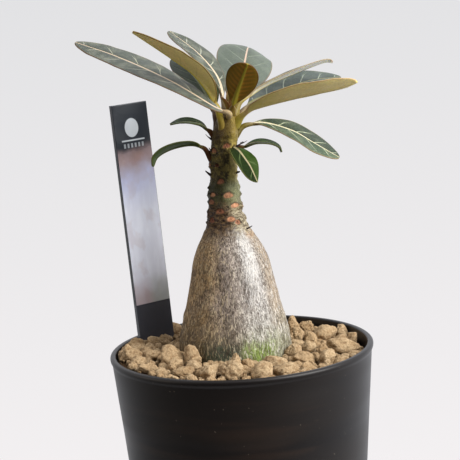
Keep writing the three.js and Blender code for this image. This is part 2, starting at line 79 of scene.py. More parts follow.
# Stones of the front and the right: x, y, height of the top, half length along x, half depth, tilt in degrees
FRONT_STONES = [
    [-37, 12, 82.2, 3.8, 3.0, 4], [-30.5, 11.5, 82.4, 2.6, 2.6, 0], [-27, 15.5, 82.0, 1.8, 1.8, 0],
    [-23.5, 28, 83.0, 2.6, 2.8, 0], [-37.6, -6, 83.8, 3.5, 3.6, 8], [-31, -4.5, 82.2, 3.4, 3.0, 0],
    [-23.5, -14.5, 84.5, 4.4, 3.8, 6], [-16.6, -16, 84.5, 3.2, 2.8, -10], [-30.4, -22.5, 81.6, 4.2, 2.6, 22],
    [-19, -30.5, 81.7, 3.4, 2.8, 0], [-11.2, -33.5, 83.1, 3.8, 3.4, -8], [-9.2, -21.5, 80.8, 1.9, 1.6, 0],
    [-3.6, -34, 83.6, 3.6, 3.2, 12], [-2.2, -25.2, 84.2, 2.0, 2.4, 0], [1.6, -25.2, 81.9, 1.9, 2.0, 0],
    [5.4, -33.5, 82.2, 4.4, 3.2, -6], [10.2, -23, 82.0, 4.3, 2.4, 6], [13.3, -32, 81.3, 4.3, 2.8, -16],
    [17.6, -10.5, 82.9, 3.0, 2.8, 0], [22.8, -4, 81.3, 3.1, 3.0, 0], [20.2, -17, 80.9, 3.6, 3.0, 0],
    [20.6, -27, 79.8, 2.4, 2.4, 0], [28, -17.5, 81.2, 3.1, 3.2, 0], [27.4, -8.5, 80.6, 2.2, 2.2, 0],
    [34.4, -3, 80.8, 5.8, 3.8, 4], [32.8, -18, 78.6, 2.6, 2.4, 0], [29.4, 14, 81.8, 4.3, 3.6, 0],
    [23.9, 24, 81.8, 2.6, 2.6, 0], [36, 20, 80.1, 2.6, 2.6, 0], [38.6, 8, 80.7, 2.0, 2.4, 0],
    [34.6, 8, 79.6, 2.6, 2.4, 0], [18.9, 24, 83.2, 2.3, 2.4, 0], [20, 11, 82.2, 2.0, 2.4, 0],
    [24, 9, 80.8, 2.2, 2.4, 0],
]

# The other stones are scattered by a seeded rule, with grains and small chips between them. A ring is where
# they start, out from the plant, and a rise is how far a centre or a top lies over the bed, in sizes.
STONE_COUNT = 104
STONE_SIZE = [1.7, 3.8]
STONE_RISE = [0.85, 1.3]
STONE_RING = 19
STONE_SPACING = 0.86
STONE_TRIES = 6000
STONE_SEED = 20
GRAIN_COUNT = 230
GRAIN_SIZE = [1.1, 2.1]
GRAIN_RISE = 0.35
GRAIN_RING = 17
GRAIN_SPACING = 0.72
GRAIN_TRIES = 9200
GRAIN_SEED = 31
GRAIN_SHAPES = 400
GRAIN_FINENESS = 3
GRAIN_FACETS = 8
CHIP_COUNT = 420
CHIP_SIZE = [0.5, 1.1]
CHIP_RISE = 0.5
CHIP_RING = 16
CHIP_SEED = 7
CHIP_SHAPES = 9000
CHIP_FINENESS = 2
BED_SIDES = 220
SOIL_GAP = 0.3
SOIL_ROUGHNESS = 0.6

# Caudex and stem: height against radius, from the tip of the taproot to the growing point
TRUNK_PROFILE = [
    [38, 1.6], [46, 4.6], [56, 10.2], [65, 15.4], [73, 18.4], [79, 19.0], [84, 18.7],
    [90, 17.2], [96, 15.6], [104, 13.8], [110, 12.5], [115, 10.7], [119, 8.6], [123, 6.5],
    [127, 5.6], [133, 5.2], [138, 4.6], [146, 4.4], [153, 4.2], [157, 3.8], [159.5, 2.8], [160.8, 1.2],
]
TRUNK_TOP = 161.2
TRUNK_BOTTOM = 37
TRUNK_AXIS = [
    [37, -1.8], [80, -1.8], [106, -1.5], [120, -2.1], [131, -2.5], [141, -2.0], [149, -1.4], [155, -0.4],
    [161.2, 1.2],
]
TRUNK_SIDES = 320
# Rings of the taproot and of the trunk: first height, last height and count
TRUNK_COARSE = [38, 73, 10]
TRUNK_FINE = [74, 160.6, 280]
RIDGES = 10
RIDGE_HEIGHT = 0.5
RIDGE_TWIST = 0.035
# Heights between which the ridges, the cracks and all relief rise, and between which they fade out
RIDGE_SPAN = [74, 84, 110, 120]
CRACK_SPAN = [74, 78, 118, 124]
RELIEF_SPAN = [74, 79, 157, 160]
KNOTS = [
    [-8, 98.5, 0.7, 2.6], [-14, 91, 0.8, 3.0], [176, 92, 0.5, 2.4], [-62, 104, 0.5, 3.2],
    [-118, 96, 0.5, 3.4], [118, 101, 0.6, 3.0], [52, 94, 0.6, 3.2],
]
FISSURE_DEPTH = 0.13
FISSURE_CELLS = 96

# Leaf scars that wind up the stem
SCAR_COUNT = 24
SCAR_START = -81
GOLDEN_ANGLE = 137.5
SCAR_NECK = 122
SCAR_SPAN = 27
SCAR_FADE = 8
SCAR_RISE = 0.5
SCAR_WIDTH = 1.8
SCAR_HEIGHT = 1.25
CUSHION_RISE = 0.4
# Scars of that row alone: half width and half height, hole and tone. The row stays where the sine of a
# scar's angle is over ROW_FRONT.
SCAR_SIZE = [1.05, 0.8]
SCAR_HOLE = 0.3
SCAR_TONE = 0.4
ROW_FRONT = -0.25
# Leaf scars on the front: degrees, height, half width, half height, how deep the hole in it is, and how
# pale it is between rust brown and salmon
FRONT_SCARS = [
    [-79, 149.3, 1.3, 0.9, 0.5, 0.2], [-141, 147.8, 1.4, 1.0, 0, 0.5], [-121, 142.9, 0.8, 0.6, 1, 0.0],
    [-102, 137.6, 1.3, 1.0, 0, 0.3], [-75, 132.9, 1.8, 1.15, 0, 1.0], [-135, 133.2, 1.4, 0.8, 0, 0.9],
    [-140, 130.8, 1.5, 0.9, 0.3, 0.3], [-49, 129.2, 2.2, 0.85, 0, 0.8], [-107, 127.7, 1.8, 1.0, 0.8, 0.3],
    [-75, 124.9, 1.7, 0.9, 0, 0.75], [-56, 123.7, 1.4, 0.9, 1, 0.35], [-138, 124.7, 1.4, 1.0, 0.7, 0.1],
]
# Small dark nodules on the stem: degrees, height, rise, reach
NODULES = [
    [-172, 135.2, 0.9, 0.9], [-166, 133.2, 0.5, 0.8], [-170, 130.5, 0.6, 0.8], [-174, 127.3, 0.5, 0.8],
    [-172, 123.6, 0.5, 0.9], [-4, 132.4, 0.7, 1.1], [8, 127.2, 0.4, 0.9], [-128, 122.4, -0.5, 1.0],
    [-112, 121.6, -0.4, 0.9], [150, 129, 0.5, 0.9], [60, 133, 0.5, 0.9],
]
# Swellings of the stem under the lowest leaf stalks: degrees, height, rise, reach across, reach up
BUTTRESSES = [[-66, 153.2, 1.7, 2.2, 3.2], [-108, 152.6, 0.7, 1.6, 2.6], [-30, 151.2, 0.6, 1.4, 2.4]]

# Dry stubs and thorn-like stipules: root, tip, radius at the root
STUB_BEND = 0.25
STUB_RINGS = 7
STUB_SIDES = 8
STUBS = [
    [[-4.6, -1.0, 138.6], [-8.2, -1.4, 141.0], 0.85],
    [[-5.2, -0.8, 138.6], [-7.4, -1.4, 139.9], 0.6],
    [[-5.0, -0.4, 151.2], [-7.3, -0.8, 153.2], 0.34],
    [[-4.6, -1.6, 146.6], [-6.5, -2.4, 148.8], 0.55],
    [[0.6, -1.4, 140.0], [3.3, -2.2, 140.1], 1.0],
    [[1.6, -1.6, 148.2], [5.0, -3.0, 150.2], 0.5],
    [[4.2, -2.2, 149.6], [6.4, -3.4, 150.5], 0.24],
    [[2.2, -2.6, 120.4], [6.2, -4.6, 121.9], 0.55],
]

# Dry bristles beside the leaf scars
BRISTLE_RADIUS = 0.3
BRISTLE_LENGTH = [0.3, 0.7]
BRISTLE_SIDES = 7
BRISTLE_SEED = 5

# Leaves. rib: the midrib from inside the stem to the tip; width: of the blade at its widest;
# petiole: the share of the rib that is stalk; roll: turn about the rib in degrees, at the stalk and
# at the tip; shape: how full the blade is towards its base and its tip; cup: lift of the margins;
# skin: its kind in LEAF_COLOURS; veins, slant and fork: spacing and angle of the side veins;
# broad: the midrib's width; flare: how much the stalk's foot swells
LEAVES = {
    "leaf_left_long": dict(
        rib=[[0.5, -1.5, 158], [0.8, -6, 160.2], [-4, -11.5, 163.4], [-17.5, -8.5, 172.4],
             [-34.5, 2.5, 180.6], [-49.35, 11, 186.2]],
        width=13.6, petiole=0.14, roll=[-4, -27], shape=[0.55, 0.6], cup=0, stalk=0.95, skin="long",
        flare=0.1, veins=11, slant=1.0),
    "leaf_left_rising": dict(
        rib=[[-1.5, -2, 152.5], [-2, -4, 157.8], [-3.5, -5.6, 165.2], [-8.8, -11, 174], [-15.4, -15, 179.9],
             [-28, -18, 189.5]],
        width=11.5, petiole=0.24, roll=[4, -6], shape=[0.8, 0.8], cup=0.35, stalk=1.1, skin="yellow"),
    "leaf_back_left_high": dict(
        rib=[[-0.5, 1.5, 158], [-0.5, 5, 164.5], [-2.2, 10, 171.8], [-8.4, 18, 179.7], [-17.6, 26, 187.3]],
        width=13.5, petiole=0.15, roll=[12, 16], shape=[1.2, 0.6], cup=0.05, stalk=1.05, skin="grey"),
    "leaf_back_left_low": dict(
        rib=[[-3, 1, 153], [-4, 5.5, 160], [-7.5, 16, 167.5], [-13, 28, 174.5], [-16.5, 34, 177.5]],
        width=14, petiole=0.2, roll=[0, 0], shape=[0.9, 0.6], cup=0.2, stalk=1.1, skin="dark"),
    "leaf_back": dict(
        rib=[[1.5, 2, 157.5], [2.5, 9, 164], [6.7, 22, 172], [9.2, 36, 178.8], [10.2, 46, 178.7]],
        width=20.3, petiole=0.12, roll=[20, 23], shape=[1.2, 0.62], cup=-0.2, stalk=1.05, skin="pale"),
    "leaf_young": dict(
        rib=[[1.5, -1, 158.5], [2.9, -4, 163.5], [5.1, -8, 169.5], [7.5, -12, 175.2], [8, -13, 176.5]],
        width=10.6, petiole=0.22, roll=[-38, -38], shape=[0.95, 0.55], cup=0.1, stalk=1, skin="young",
        veins=1.7, slant=0.3, fork=0, broad=1.9),
    "leaf_right_thin": dict(
        rib=[[2.5, 0.5, 158.5], [5.5, 3, 163.5], [13, 8, 167.8], [23.5, 13, 171], [29, 15, 172.6],
             [35, 17, 174], [38, 18, 173.5]],
        width=8.6, petiole=0.2, roll=[-13, -10], shape=[0.9, 0.7], cup=0.2, stalk=0.95, skin="thin"),
    "leaf_right_back": dict(
        rib=[[3, 1.5, 156.5], [8, 5.5, 162], [16, 13, 164.5], [29, 20, 167.3], [41, 26, 167.6]],
        width=15, petiole=0.15, roll=[18, 22], shape=[1, 0.7], cup=0.1, stalk=1, skin="blue"),
    "leaf_right_front": dict(
        rib=[[2.5, -0.5, 155.5], [7, -4.5, 160.8], [12, -7.5, 162.7], [23.5, -13, 165.1], [35.5, -17, 167.1],
             [42.5, -19, 169]],
        width=16, petiole=0.15, roll=[-18, -16], shape=[0.95, 0.55], cup=0.2, stalk=1.15, skin="beige"),
    "leaf_right_low": dict(
        rib=[[2, 0.5, 151.5], [6, 2, 155], [12.5, 3.2, 155.5], [22, 5.2, 152], [28.7, 6, 147.6],
             [37.6, 6, 141.6]],
        width=14, petiole=0.2, roll=[23, 28], shape=[1, 0.65], cup=0.02, stalk=0.9, skin="green"),
    "leaf_left_small": dict(
        rib=[[-4, 0, 151.5], [-7.5, 0, 156], [-11, 0, 157.5], [-15, 0, 158], [-19, 0, 157.5]],
        width=9.5, petiole=0.25, roll=[-6, -6], shape=[0.8, 0.7], cup=0.1, stalk=0.7, skin="deep"),
    "leaf_left_arch": dict(
        rib=[[-5.5, 0, 144], [-8.5, 0, 149], [-12.5, 0, 150.5], [-19, 0, 149.5], [-24, 0, 147],
             [-26, 0, 143.5]],
        width=12, petiole=0.25, roll=[14, 6], shape=[0.9, 0.7], cup=0.2, stalk=0.8, skin="deep"),
    "leaf_right_small": dict(
        rib=[[1.5, 0, 147], [5.5, 0, 148.5], [9.5, 0, 149.5], [14, 0, 149], [17, 0, 147.5], [18, 0, 145.5]],
        width=8.5, petiole=0.22, roll=[8, 2], shape=[0.8, 0.7], cup=0.1, stalk=0.65, skin="deep"),
    "leaf_front_small": dict(
        rib=[[1, -2, 149], [3.2, -6.5, 148], [5.2, -9, 145.3], [7, -9.3, 142.2], [8.9, -8.3, 136.9]],
        width=10.5, petiole=0.12, roll=[2, 0], shape=[0.8, 0.85], cup=0, stalk=0.7, skin="deep", broad=1.3),
}
# Every leaf: thickness, where its rib ends, half width there, and the curve of its lifted margins
BLADE = 0.5
SHOOT_BLADE = 0.25
RIB_END = 0.995
TIP_HALF_WIDTH = 0.12
CUP_POWER = 1.6
# Side veins and flare of a leaf whose row gives none
VEIN_SPACING = 7.0
VEIN_SLANT = 0.75
VEIN_CURL = 0.06
FORK = 0.24
FLARE = 0.6
# Height of the blade's waves, and depth of its vein grooves and of the channel over its midrib
WAVES = 0.3
GROOVE = 0.07
CHANNEL = 0.18
# A leaf wider than this counts as large
LARGE_LEAF = 10
# Rings along a leaf and points across half of it, for a large leaf, a small one and the growing point
LARGE_FINENESS = [170, 34]
SMALL_FINENESS = [110, 24]
SHOOT_FINENESS = [40, 10]
LEAF_SEED = 100
LEAF_SEED_STEP = 7
SHOOT_SEED = 300

# Colours of each kind of leaf, on an 8-bit screen: upper face, underside, side veins, midrib above and below,
# margin, stalk, and the stalk's foot
LEAF_COLOURS = {
    "grey": [(66, 72, 60), (132, 124, 84), (166, 168, 148), (196, 180, 152), (186, 170, 128),
             (92, 74, 48), (160, 144, 110), (112, 92, 62)],
    "pale": [(90, 99, 88), (132, 124, 84), (122, 131, 115), (190, 166, 146), (186, 170, 128),
             (120, 104, 82), (160, 144, 110), (112, 92, 62)],
    "long": [(80, 86, 78), (128, 118, 84), (170, 170, 150), (198, 180, 156), (176, 158, 120),
             (100, 74, 44), (148, 130, 98), (186, 164, 122)],
    # Its underside colour is partly its own and partly painted light, for light shining through the blade.
    "yellow": [(84, 88, 58), (226, 208, 136), (170, 158, 100), (186, 172, 106), (216, 196, 76),
               (120, 92, 44), (186, 166, 56), (132, 112, 44)],
    "dark": [(40, 56, 30), (94, 90, 54), (92, 104, 76), (112, 118, 86), (124, 114, 68),
             (76, 60, 38), (82, 58, 36), (66, 46, 30)],
    "young": [(88, 80, 30), (122, 94, 14), (180, 118, 30), (150, 138, 50), (146, 134, 36),
              (88, 52, 20), (148, 138, 54), (116, 96, 40)],
    # Its underside colour is partly its own and partly painted light, for light shining through the blade.
    "beige": [(100, 106, 90), (238, 220, 150), (216, 206, 160), (198, 186, 148), (214, 198, 132),
              (196, 164, 118), (190, 176, 74), (176, 160, 66)],
    "blue": [(76, 86, 80), (132, 124, 84), (150, 158, 142), (128, 126, 90), (186, 170, 128),
             (92, 84, 58), (160, 144, 110), (112, 92, 62)],
    "thin": [(72, 70, 46), (250, 246, 238), (196, 192, 166), (196, 188, 150), (204, 192, 132),
             (150, 130, 96), (170, 156, 66), (126, 110, 46)],
    "green": [(62, 79, 56), (138, 138, 104), (176, 182, 150), (206, 198, 164), (168, 164, 108),
              (132, 110, 76), (112, 100, 12), (104, 90, 10)],
    "deep": [(50, 72, 27), (64, 80, 36), (92, 108, 66), (166, 156, 122), (104, 100, 56),
             (92, 94, 50), (92, 66, 36), (86, 54, 32)],
    "shoot": [(98, 76, 36), (104, 72, 36), (122, 96, 46), (136, 116, 56), (136, 116, 56),
              (102, 64, 36), (116, 86, 42), (100, 72, 40)],
}
# Where a kind differs: width of a side vein, strength of the shine, a painted shade over each half, and how
# much of the stalk's colour the blade's base takes
LEAF_TRAITS = {
    "long": dict(sheen=0.22),
    "dark": dict(sheen=0.15),
    "young": dict(vein_width=0.32, blush=0),
    "green": dict(shades=(0, 0.58)),
    "deep": dict(sheen=0.04, shades=(0.85, 0), blush=0),
}

# Growing point: the smallest leaves, folded upright round the middle of the stem's top, and what they share
SHOOT_LEAVES = [
    dict(rib=[[1.0, -0.2, 159.5], [0.4, -0.8, 162], [-0.4, -1.3, 164], [-1.2, -1.6, 165.5]], width=1.9),
    dict(rib=[[1.3, -0.2, 159.5], [1.9, -0.8, 162.5], [2.6, -1.2, 165], [3.0, -1.4, 166.5]], width=2.0),
    dict(rib=[[1.2, 0.2, 159.5], [1.2, 0.6, 162.5], [1.2, 1.0, 165.5], [1.2, 1.2, 168]], width=2.2),
]
SHOOT_FORM = dict(petiole=0.04, roll=[0, 0], shape=[0.5, 0.8], cup=0.9, stalk=0.5)

# Plant label
LABEL_WIDTH = 13.5
LABEL_THICKNESS = 2
LABEL_ABOVE = 81.7
LABEL_BELOW = 28
LABEL_POINT = 11
LABEL_PLACE = [-30.1, 20, 82]
LABEL_YAW = 30
LABEL_LEAN = -2.3
LABEL_TILT = -1.2
LABEL_BEVEL = 0.25
# Where the label's front carries a painted reflection, with soft edges at its foot and top, in millimetres
# across and along it
REFLECTION_ACROSS = [-6.65, 6.6]
REFLECTION_FOOT = [10.9, 11.1]
REFLECTION_TOP = [68, 62]
# Its print: centre and half size of the oval, the bar under it, and a row of short strokes
OVAL_ACROSS = [-0.1, 2.6]
OVAL_ALONG = [73.3, 3.3]
BAR_ALONG = [68.7, 69.2]
BAR_HALF = 4.4
DASHES_ALONG = [66.4, 67.9]
DASHES_HALF = 4.2
DASHES_PER_MM = 0.72

# Camera
FOCAL_PIXELS = 1463
FRAME_PIXELS = 460
SENSOR = 36
CAMERA_TARGET = (-1.3, 0.0, 120.2)
CAMERA_DISTANCE = 494.4
CAMERA_PITCH = 9.65
CAMERA_ROLL = -3.82

# Light: the way the studio is brightest, its darkest and brightest level, and its colour
STUDIO_BRIGHT_SIDE = (0.4, 0.7, 0.6)
STUDIO_LEVELS = (0.08, 1.25)
STUDIO_COLOUR = (240, 241, 246)
# Backdrop: its colour low and high, and the rise of the view over which one turns into the other
BACKDROP_LOW = (243, 240, 241)
BACKDROP_HIGH = (226, 226, 228)
BACKDROP_SPAN = (-0.32, 0.0)
# Floor: colour, radius, sides, and how far out it is gone and is still whole, in millimetres
STAGE_COLOUR = (196, 195, 197)
STAGE_RADIUS = 1.2
STAGE_SIDES = 96
STAGE_FADE = [130, 60]
# Lamps: name, degrees from the front towards the right, degrees up, distance, size, power and colour
LAMPS = [
    ["key", 58, 30, 0.9, (0.5, 0.9), 15, (1.0, 0.985, 0.96)],
    ["left bounce", -80, 8, 0.9, (0.6, 0.6), 1.6, (1.0, 0.86, 0.7)],
]
LAMP_TARGET = (0, 0, 0.12)


def lerp(low, high, share):
    return low + (high - low) * share


def smoothstep(value, low, high):
    t = np.clip((value - low) / (high - low), 0, 1)
    return t * t * (3 - 2 * t)


def span(value, rise_low, rise_high, fall_low, fall_high):
    """Smooth rise from 0 to 1, and back to 0."""
    return smoothstep(value, rise_low, rise_high) * (1 - smoothstep(value, fall_low, fall_high))


def full_turn(count):
    return np.linspace(0, 2 * math.pi, count, endpoint=False)


def unit(vectors):
    return vectors / np.linalg.norm(vectors, axis=-1, keepdims=True)


def seeded(seed):
    """mulberry32: the same draws on every run."""
    whole = 0xFFFFFFFF
    state = seed

    def draw():
        nonlocal state
        state = (state + 0x6D2B79F5) & whole
        t = ((state ^ (state >> 15)) * (state | 1)) & whole
        t ^= (t + ((t ^ (t >> 7)) * (t | 61))) & whole
        return (t ^ (t >> 14)) / 4294967296

    return draw


def profile(pairs):
    """Smooth curve through given [position, value] pairs."""
    x, y = np.array(pairs, float).T
    here = np.arange(len(x))
    before, after = np.maximum(here - 1, 0), np.minimum(here + 1, len(x) - 1)
    slope = (y[after] - y[before]) / (x[after] - x[before])

    def curve(at):
        i = np.clip(np.searchsorted(x, at, side="right") - 1, 0, len(x) - 2)
        width = x[i + 1] - x[i]
        t = np.clip((at - x[i]) / width, 0, 1)
        bend = t * (1 - t) * width * ((1 - t) * slope[i] - t * slope[i + 1])
        return y[i] + (y[i + 1] - y[i]) * t * t * (3 - 2 * t) + bend

    return curve


def lattice(cells, seed):
    """Number from 0 to 1 for each whole-number cell, the same on every run."""
    mixed = np.full(cells.shape[:-1], (seed * 2654435761 + 12345) % 4294967296, np.uint32)
    for axis in range(cells.shape[-1]):
        mixed = (mixed ^ cells[..., axis].astype(np.uint32)) * np.uint32(2246822507)
        mixed ^= mixed >> np.uint32(13)
    mixed = mixed * np.uint32(3266489917)
    mixed ^= mixed >> np.uint32(16)
    return mixed / 4294967296


def noise(points, seed, wrap=None):
    """Smooth noise from -1 to 1 with cells one unit wide; wrap joins the first axis after that many cells."""
    cell = np.floor(points).astype(np.int64)
    part = points - cell
    part = part * part * (3 - 2 * part)
    total = 0
    for corner in np.ndindex(*(2,) * points.shape[-1]):
        weight = np.prod(np.where(corner, part, 1 - part), axis=-1)
        index = cell + corner
        if wrap:
            index[..., 0] %= wrap
        total = total + weight * lattice(index, seed)
    return 2 * total - 1


def layered(points, seed, layers=3):
    """Noise with finer layers over it."""
    return sum(noise(points * 2**k, seed + k) / 2**k for k in range(layers)) / (2 - 2 ** (1 - layers))


class Skin:
    """Surfaces in millimetres, with named numbers kept at their points, that become one object."""

    def __init__(self, *marks):
        self.marks = {mark: [] for mark in marks}
        self.points = []
        self.faces = []
        self.total = 0

    def add(self, points, faces, **values):
        self.points.append(points)
        for mark, kept in self.marks.items():
            kept.append(np.broadcast_to(values.get(mark, 0.0), len(points)))
        self.faces += [np.asarray(block) + self.total for block in faces]
        self.total += len(points)

    def mesh(self, name):
        mesh = bpy.data.meshes.new(name)
        points = np.concatenate(self.points) * MM
        corners = np.concatenate([block.ravel() for block in self.faces])
        sizes = np.concatenate([np.full(len(block), block.shape[1]) for block in self.faces])
        mesh.vertices.add(len(points))
        mesh.vertices.foreach_set("co", points.astype(np.float32).ravel())
        mesh.loops.add(len(corners))
        mesh.loops.foreach_set("vertex_index", corners.astype(np.int32))
        mesh.polygons.add(len(sizes))
        mesh.polygons.foreach_set("loop_start", np.concatenate([[0], np.cumsum(sizes)[:-1]]).astype(np.int32))
        mesh.polygons.foreach_set("use_smooth", np.full(len(sizes), True))
        for mark, kept in self.marks.items():
            attribute = mesh.attributes.new(mark, "FLOAT", "POINT")
            attribute.data.foreach_set("value", np.concatenate(kept).astype(np.float32))
        mesh.update(calc_edges=True)
        mesh.validate()
        return mesh


def place_object(name, data):
    placed = bpy.data.objects.new(name, data)
    bpy.context.scene.collection.objects.link(placed)
    return placed


def finished(shape, name):
    """Mesh of a bmesh shape."""
    mesh = bpy.data.meshes.new(name)
    shape.to_mesh(mesh)
    shape.free()
    return mesh


def add_piece(node, mesh, material, part="skin"):
    """Object of this mesh that rides on the one body and stands for a node."""
    piece = place_object(f"{node}_{part}", mesh)
    mesh.materials.append(material)
    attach(piece, "root")
    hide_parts(node)


def loft(rings, start, end):
    """Points and faces of a closed skin over rings that run anticlockwise seen from the end."""
    count, sides = rings.shape[:2]
    points = np.concatenate([[start], rings.reshape(-1, 3), [end]])
    ring, side = (grid.ravel() for grid in np.mgrid[0:count - 1, 0:sides])

    def at(ring, side):
        return 1 + ring * sides + side % sides

    quads = np.stack([at(ring, side), at(ring, side + 1), at(ring + 1, side + 1), at(ring + 1, side)], -1)
    side = np.arange(sides)
    last = np.full(sides, len(points) - 1)
    foot = np.stack([0 * side, at(0, side + 1), at(0, side)], -1)
    head = np.stack([last, at(count - 1, side), at(count - 1, side + 1)], -1)
    return points, [quads, foot, head]


def loft_values(values, start=0.0, end=0.0):
    """A loft's ring values in the order of its points."""
    return np.concatenate([[start], values.ravel(), [end]])


def spike(root, tip, radius, sides):
    """Thorn that bends upwards a little between two points."""
    root, tip = np.array(root, float), np.array(tip, float)
    along = unit(tip - root)
    across = unit(np.cross(along, [0.0, 0.0, 1.0]))
    up = np.cross(across, along)
    share = np.linspace(0, 1, STUB_RINGS)[:, None, None]
    angle = full_turn(sides)[None, :, None]
    centre = lerp(root, tip, share) - up * STUB_BEND * np.linalg.norm(tip - root) * share * (1 - share)
    width = radius * (1.25 * (1 - share) ** 1.4 + 0.2) * (1 + 0.12 * np.sin(9 * share + 2 * angle))
    rings = centre + width * (up * np.cos(angle) - across * np.sin(angle))
    return loft(rings, root, tip + 0.1 * radius * along)


# Shapes

trunk_radius = profile(TRUNK_PROFILE)
trunk_axis = profile(TRUNK_AXIS)


def turned(angle, centre):
    """How far an angle is from a centre, at most half a turn either way."""
    return np.arctan2(np.sin(angle - centre), np.cos(angle - centre))


def hump(angle, centre_angle, z, centre_z, reach_across, reach_up):
    """Smooth hump of height 1 on the trunk, centred at an angle and a height."""
    across = turned(angle, centre_angle) * trunk_radius(centre_z) / reach_across
    up = (z - centre_z) / reach_up
    return np.exp(-1.4 * (across**2 + up**2)) * (np.abs(up) <= 2)


def scar_places():
    """Angle and height of each leaf scar, one each golden angle, closer together towards the neck."""
    count = np.arange(SCAR_COUNT)
    angles = np.radians(SCAR_START + GOLDEN_ANGLE * count)
    return list(zip(angles, SCAR_NECK + SCAR_SPAN * np.exp(-count / SCAR_FADE)))


def scars():
    """Every leaf scar: the listed ones of the front, and the winding row behind them."""
    front = [[math.radians(degrees), *rest] for degrees, *rest in FRONT_SCARS]
    row = [[angle, height, *SCAR_SIZE, SCAR_HOLE, SCAR_TONE] for angle, height in scar_places()]
    return front + [scar for scar in row if math.sin(scar[0]) > ROW_FRONT]


def bark_rise(angle, z):
    """Rise of the bark over the smooth trunk: lobes and ridges, knots and cushions of leaf scars."""
    body = span(z, *RIDGE_SPAN)
    wander = RIDGE_TWIST * z + 0.35 * np.sin(0.09 * z + 2 * angle)
    ridge = np.abs(np.sin(RIDGES * angle * 0.5 + wander))
    lobes = 0.35 * np.sin(2 * angle + 0.7) + 0.3 * np.sin(3 * angle + 0.05 * z)
    rise = body * (lobes + RIDGE_HEIGHT * (ridge - 0.6))
    for degrees, height, knot_rise, reach in KNOTS:
        rise = rise + knot_rise * hump(angle, math.radians(degrees), z, height, reach, reach)
    for scar_angle, scar_height in scar_places():
        rise = rise + SCAR_RISE * hump(angle, scar_angle, z, scar_height, SCAR_WIDTH, SCAR_HEIGHT)
    return rise


def fissures(angle, z):
    """Depth from 0 to 1 of the fine, crinkled, nearly upright cracks of the bark."""
    around = angle / (2 * math.pi)
    bent = np.stack([around * 32, z / 3.2], -1)
    turn = around * FISSURE_CELLS + 0.9 * noise(bent, 11, 32)
    coarse = noise(np.stack([turn, z / 4.2], -1), 12, FISSURE_CELLS)
    fine = noise(np.stack([turn * 2, z / 2.4], -1), 13, 2 * FISSURE_CELLS)
    lines = np.maximum(1 - np.abs(coarse) / 0.16, 0.75 * (1 - np.abs(fine) / 0.2))
    return np.clip(lines, 0, 1)


def trunk_surface(angle, z):
    """Points of the finished trunk, with the scar and dark marks of its material."""
    around = angle / (2 * math.pi)
    rough = layered(np.stack([around * 40, z / 3.2], -1), 21, 3)
    wrinkle = layered(np.stack([around * 9, z / 1.1], -1), 25, 3) * smoothstep(z, 114, 124)
    crack = FISSURE_DEPTH * fissures(angle, z) * span(z, *CRACK_SPAN)
    rise = bark_rise(angle, z) - crack + 0.06 * rough + 0.3 * wrinkle
    scar, pale, dark = np.zeros_like(z), np.zeros_like(z), np.zeros_like(z)
    for degrees, height, swell, across, up in BUTTRESSES:
        rise = rise + swell * hump(angle, math.radians(degrees), z, height, across, up)
    for degrees, height, swell, reach in NODULES:
        bump = hump(angle, math.radians(degrees), z, height, reach, 0.8 * reach)
        rise = rise + swell * bump
        dark = np.maximum(dark, 0.8 * bump)
    for centre, height, wide, high, hole, tone in scars():
        turn = turned(angle, centre) * trunk_radius(height)
        across, up = turn / wide, (z - height) / high
        distance = np.hypot(across, up + 0.3 * across**2) + 0.18 * rough
        cushion = hump(angle, centre, z, height - 0.5, 1.6 * wide, 1.8 * high)
        face = 1 - smoothstep(distance, 0.7, 1.0)
        rim = np.exp(-((distance - 1.15) / 0.22) ** 2)
        pit = hole * np.exp(-((turn / 0.4) ** 2) - ((z - height) / 0.35) ** 2)
        rise = rise + CUSHION_RISE * cushion - 0.22 * face + 0.14 * rim - 0.5 * pit
        scar = np.maximum(scar, face)
        pale = np.maximum(pale, tone * face)
        # Painted shade in the scar's hole, and a painted shadow over its upper rim.
        dark = np.maximum(dark, np.maximum(pit, 0.6 * rim * smoothstep(up, -0.4, 0.6)))
    r = trunk_radius(z) + span(z, *RELIEF_SPAN) * rise
    points = np.stack([trunk_axis(z) + r * np.cos(angle), r * np.sin(angle), z], -1)
    return points, dict(scar=scar, pale=pale, dry=dark, side=np.cos(angle), front=-np.sin(angle))


def caudex_stem():
    """The trunk, its stubs, and two dry bristles beside each leaf scar."""
    skin = Skin("scar", "pale", "dry", "side", "front")
    heights = np.concatenate([np.linspace(*TRUNK_COARSE), np.linspace(*TRUNK_FINE)])
    z, angle = np.meshgrid(heights, full_turn(TRUNK_SIDES), indexing="ij")
    rings, marks = trunk_surface(angle, z)
    foot = np.array([trunk_axis(TRUNK_BOTTOM), 0, TRUNK_BOTTOM])
    head = np.array([trunk_axis(TRUNK_TOP), 0, TRUNK_TOP])
    points, faces = loft(rings, foot, head)
    skin.add(points, faces, **{name: loft_values(values) for name, values in marks.items()})
    for root, tip, radius in STUBS:
        skin.add(*spike(root, tip, radius, STUB_SIDES), dry=1)
    draw = seeded(BRISTLE_SEED)
    for centre, height, wide, *_ in scars():
        for side in (-1, 1):
            turn = centre + side * wide * lerp(1.0, 1.3, draw()) / trunk_radius(height)
            z = height + lerp(-0.6, 0.4, draw())
            length = lerp(*BRISTLE_LENGTH, draw())
            out = np.array([math.cos(turn), math.sin(turn), lerp(0.1, 0.6, draw())])
            root = np.array([trunk_axis(z), 0, z]) + (trunk_radius(z) + 0.1) * out * [1, 1, 0]
            skin.add(*spike(root, root + length * out, BRISTLE_RADIUS, BRISTLE_SIDES), dry=1)
    add_piece("caudex_stem", skin.mesh("caudex_stem_skin"), bark())


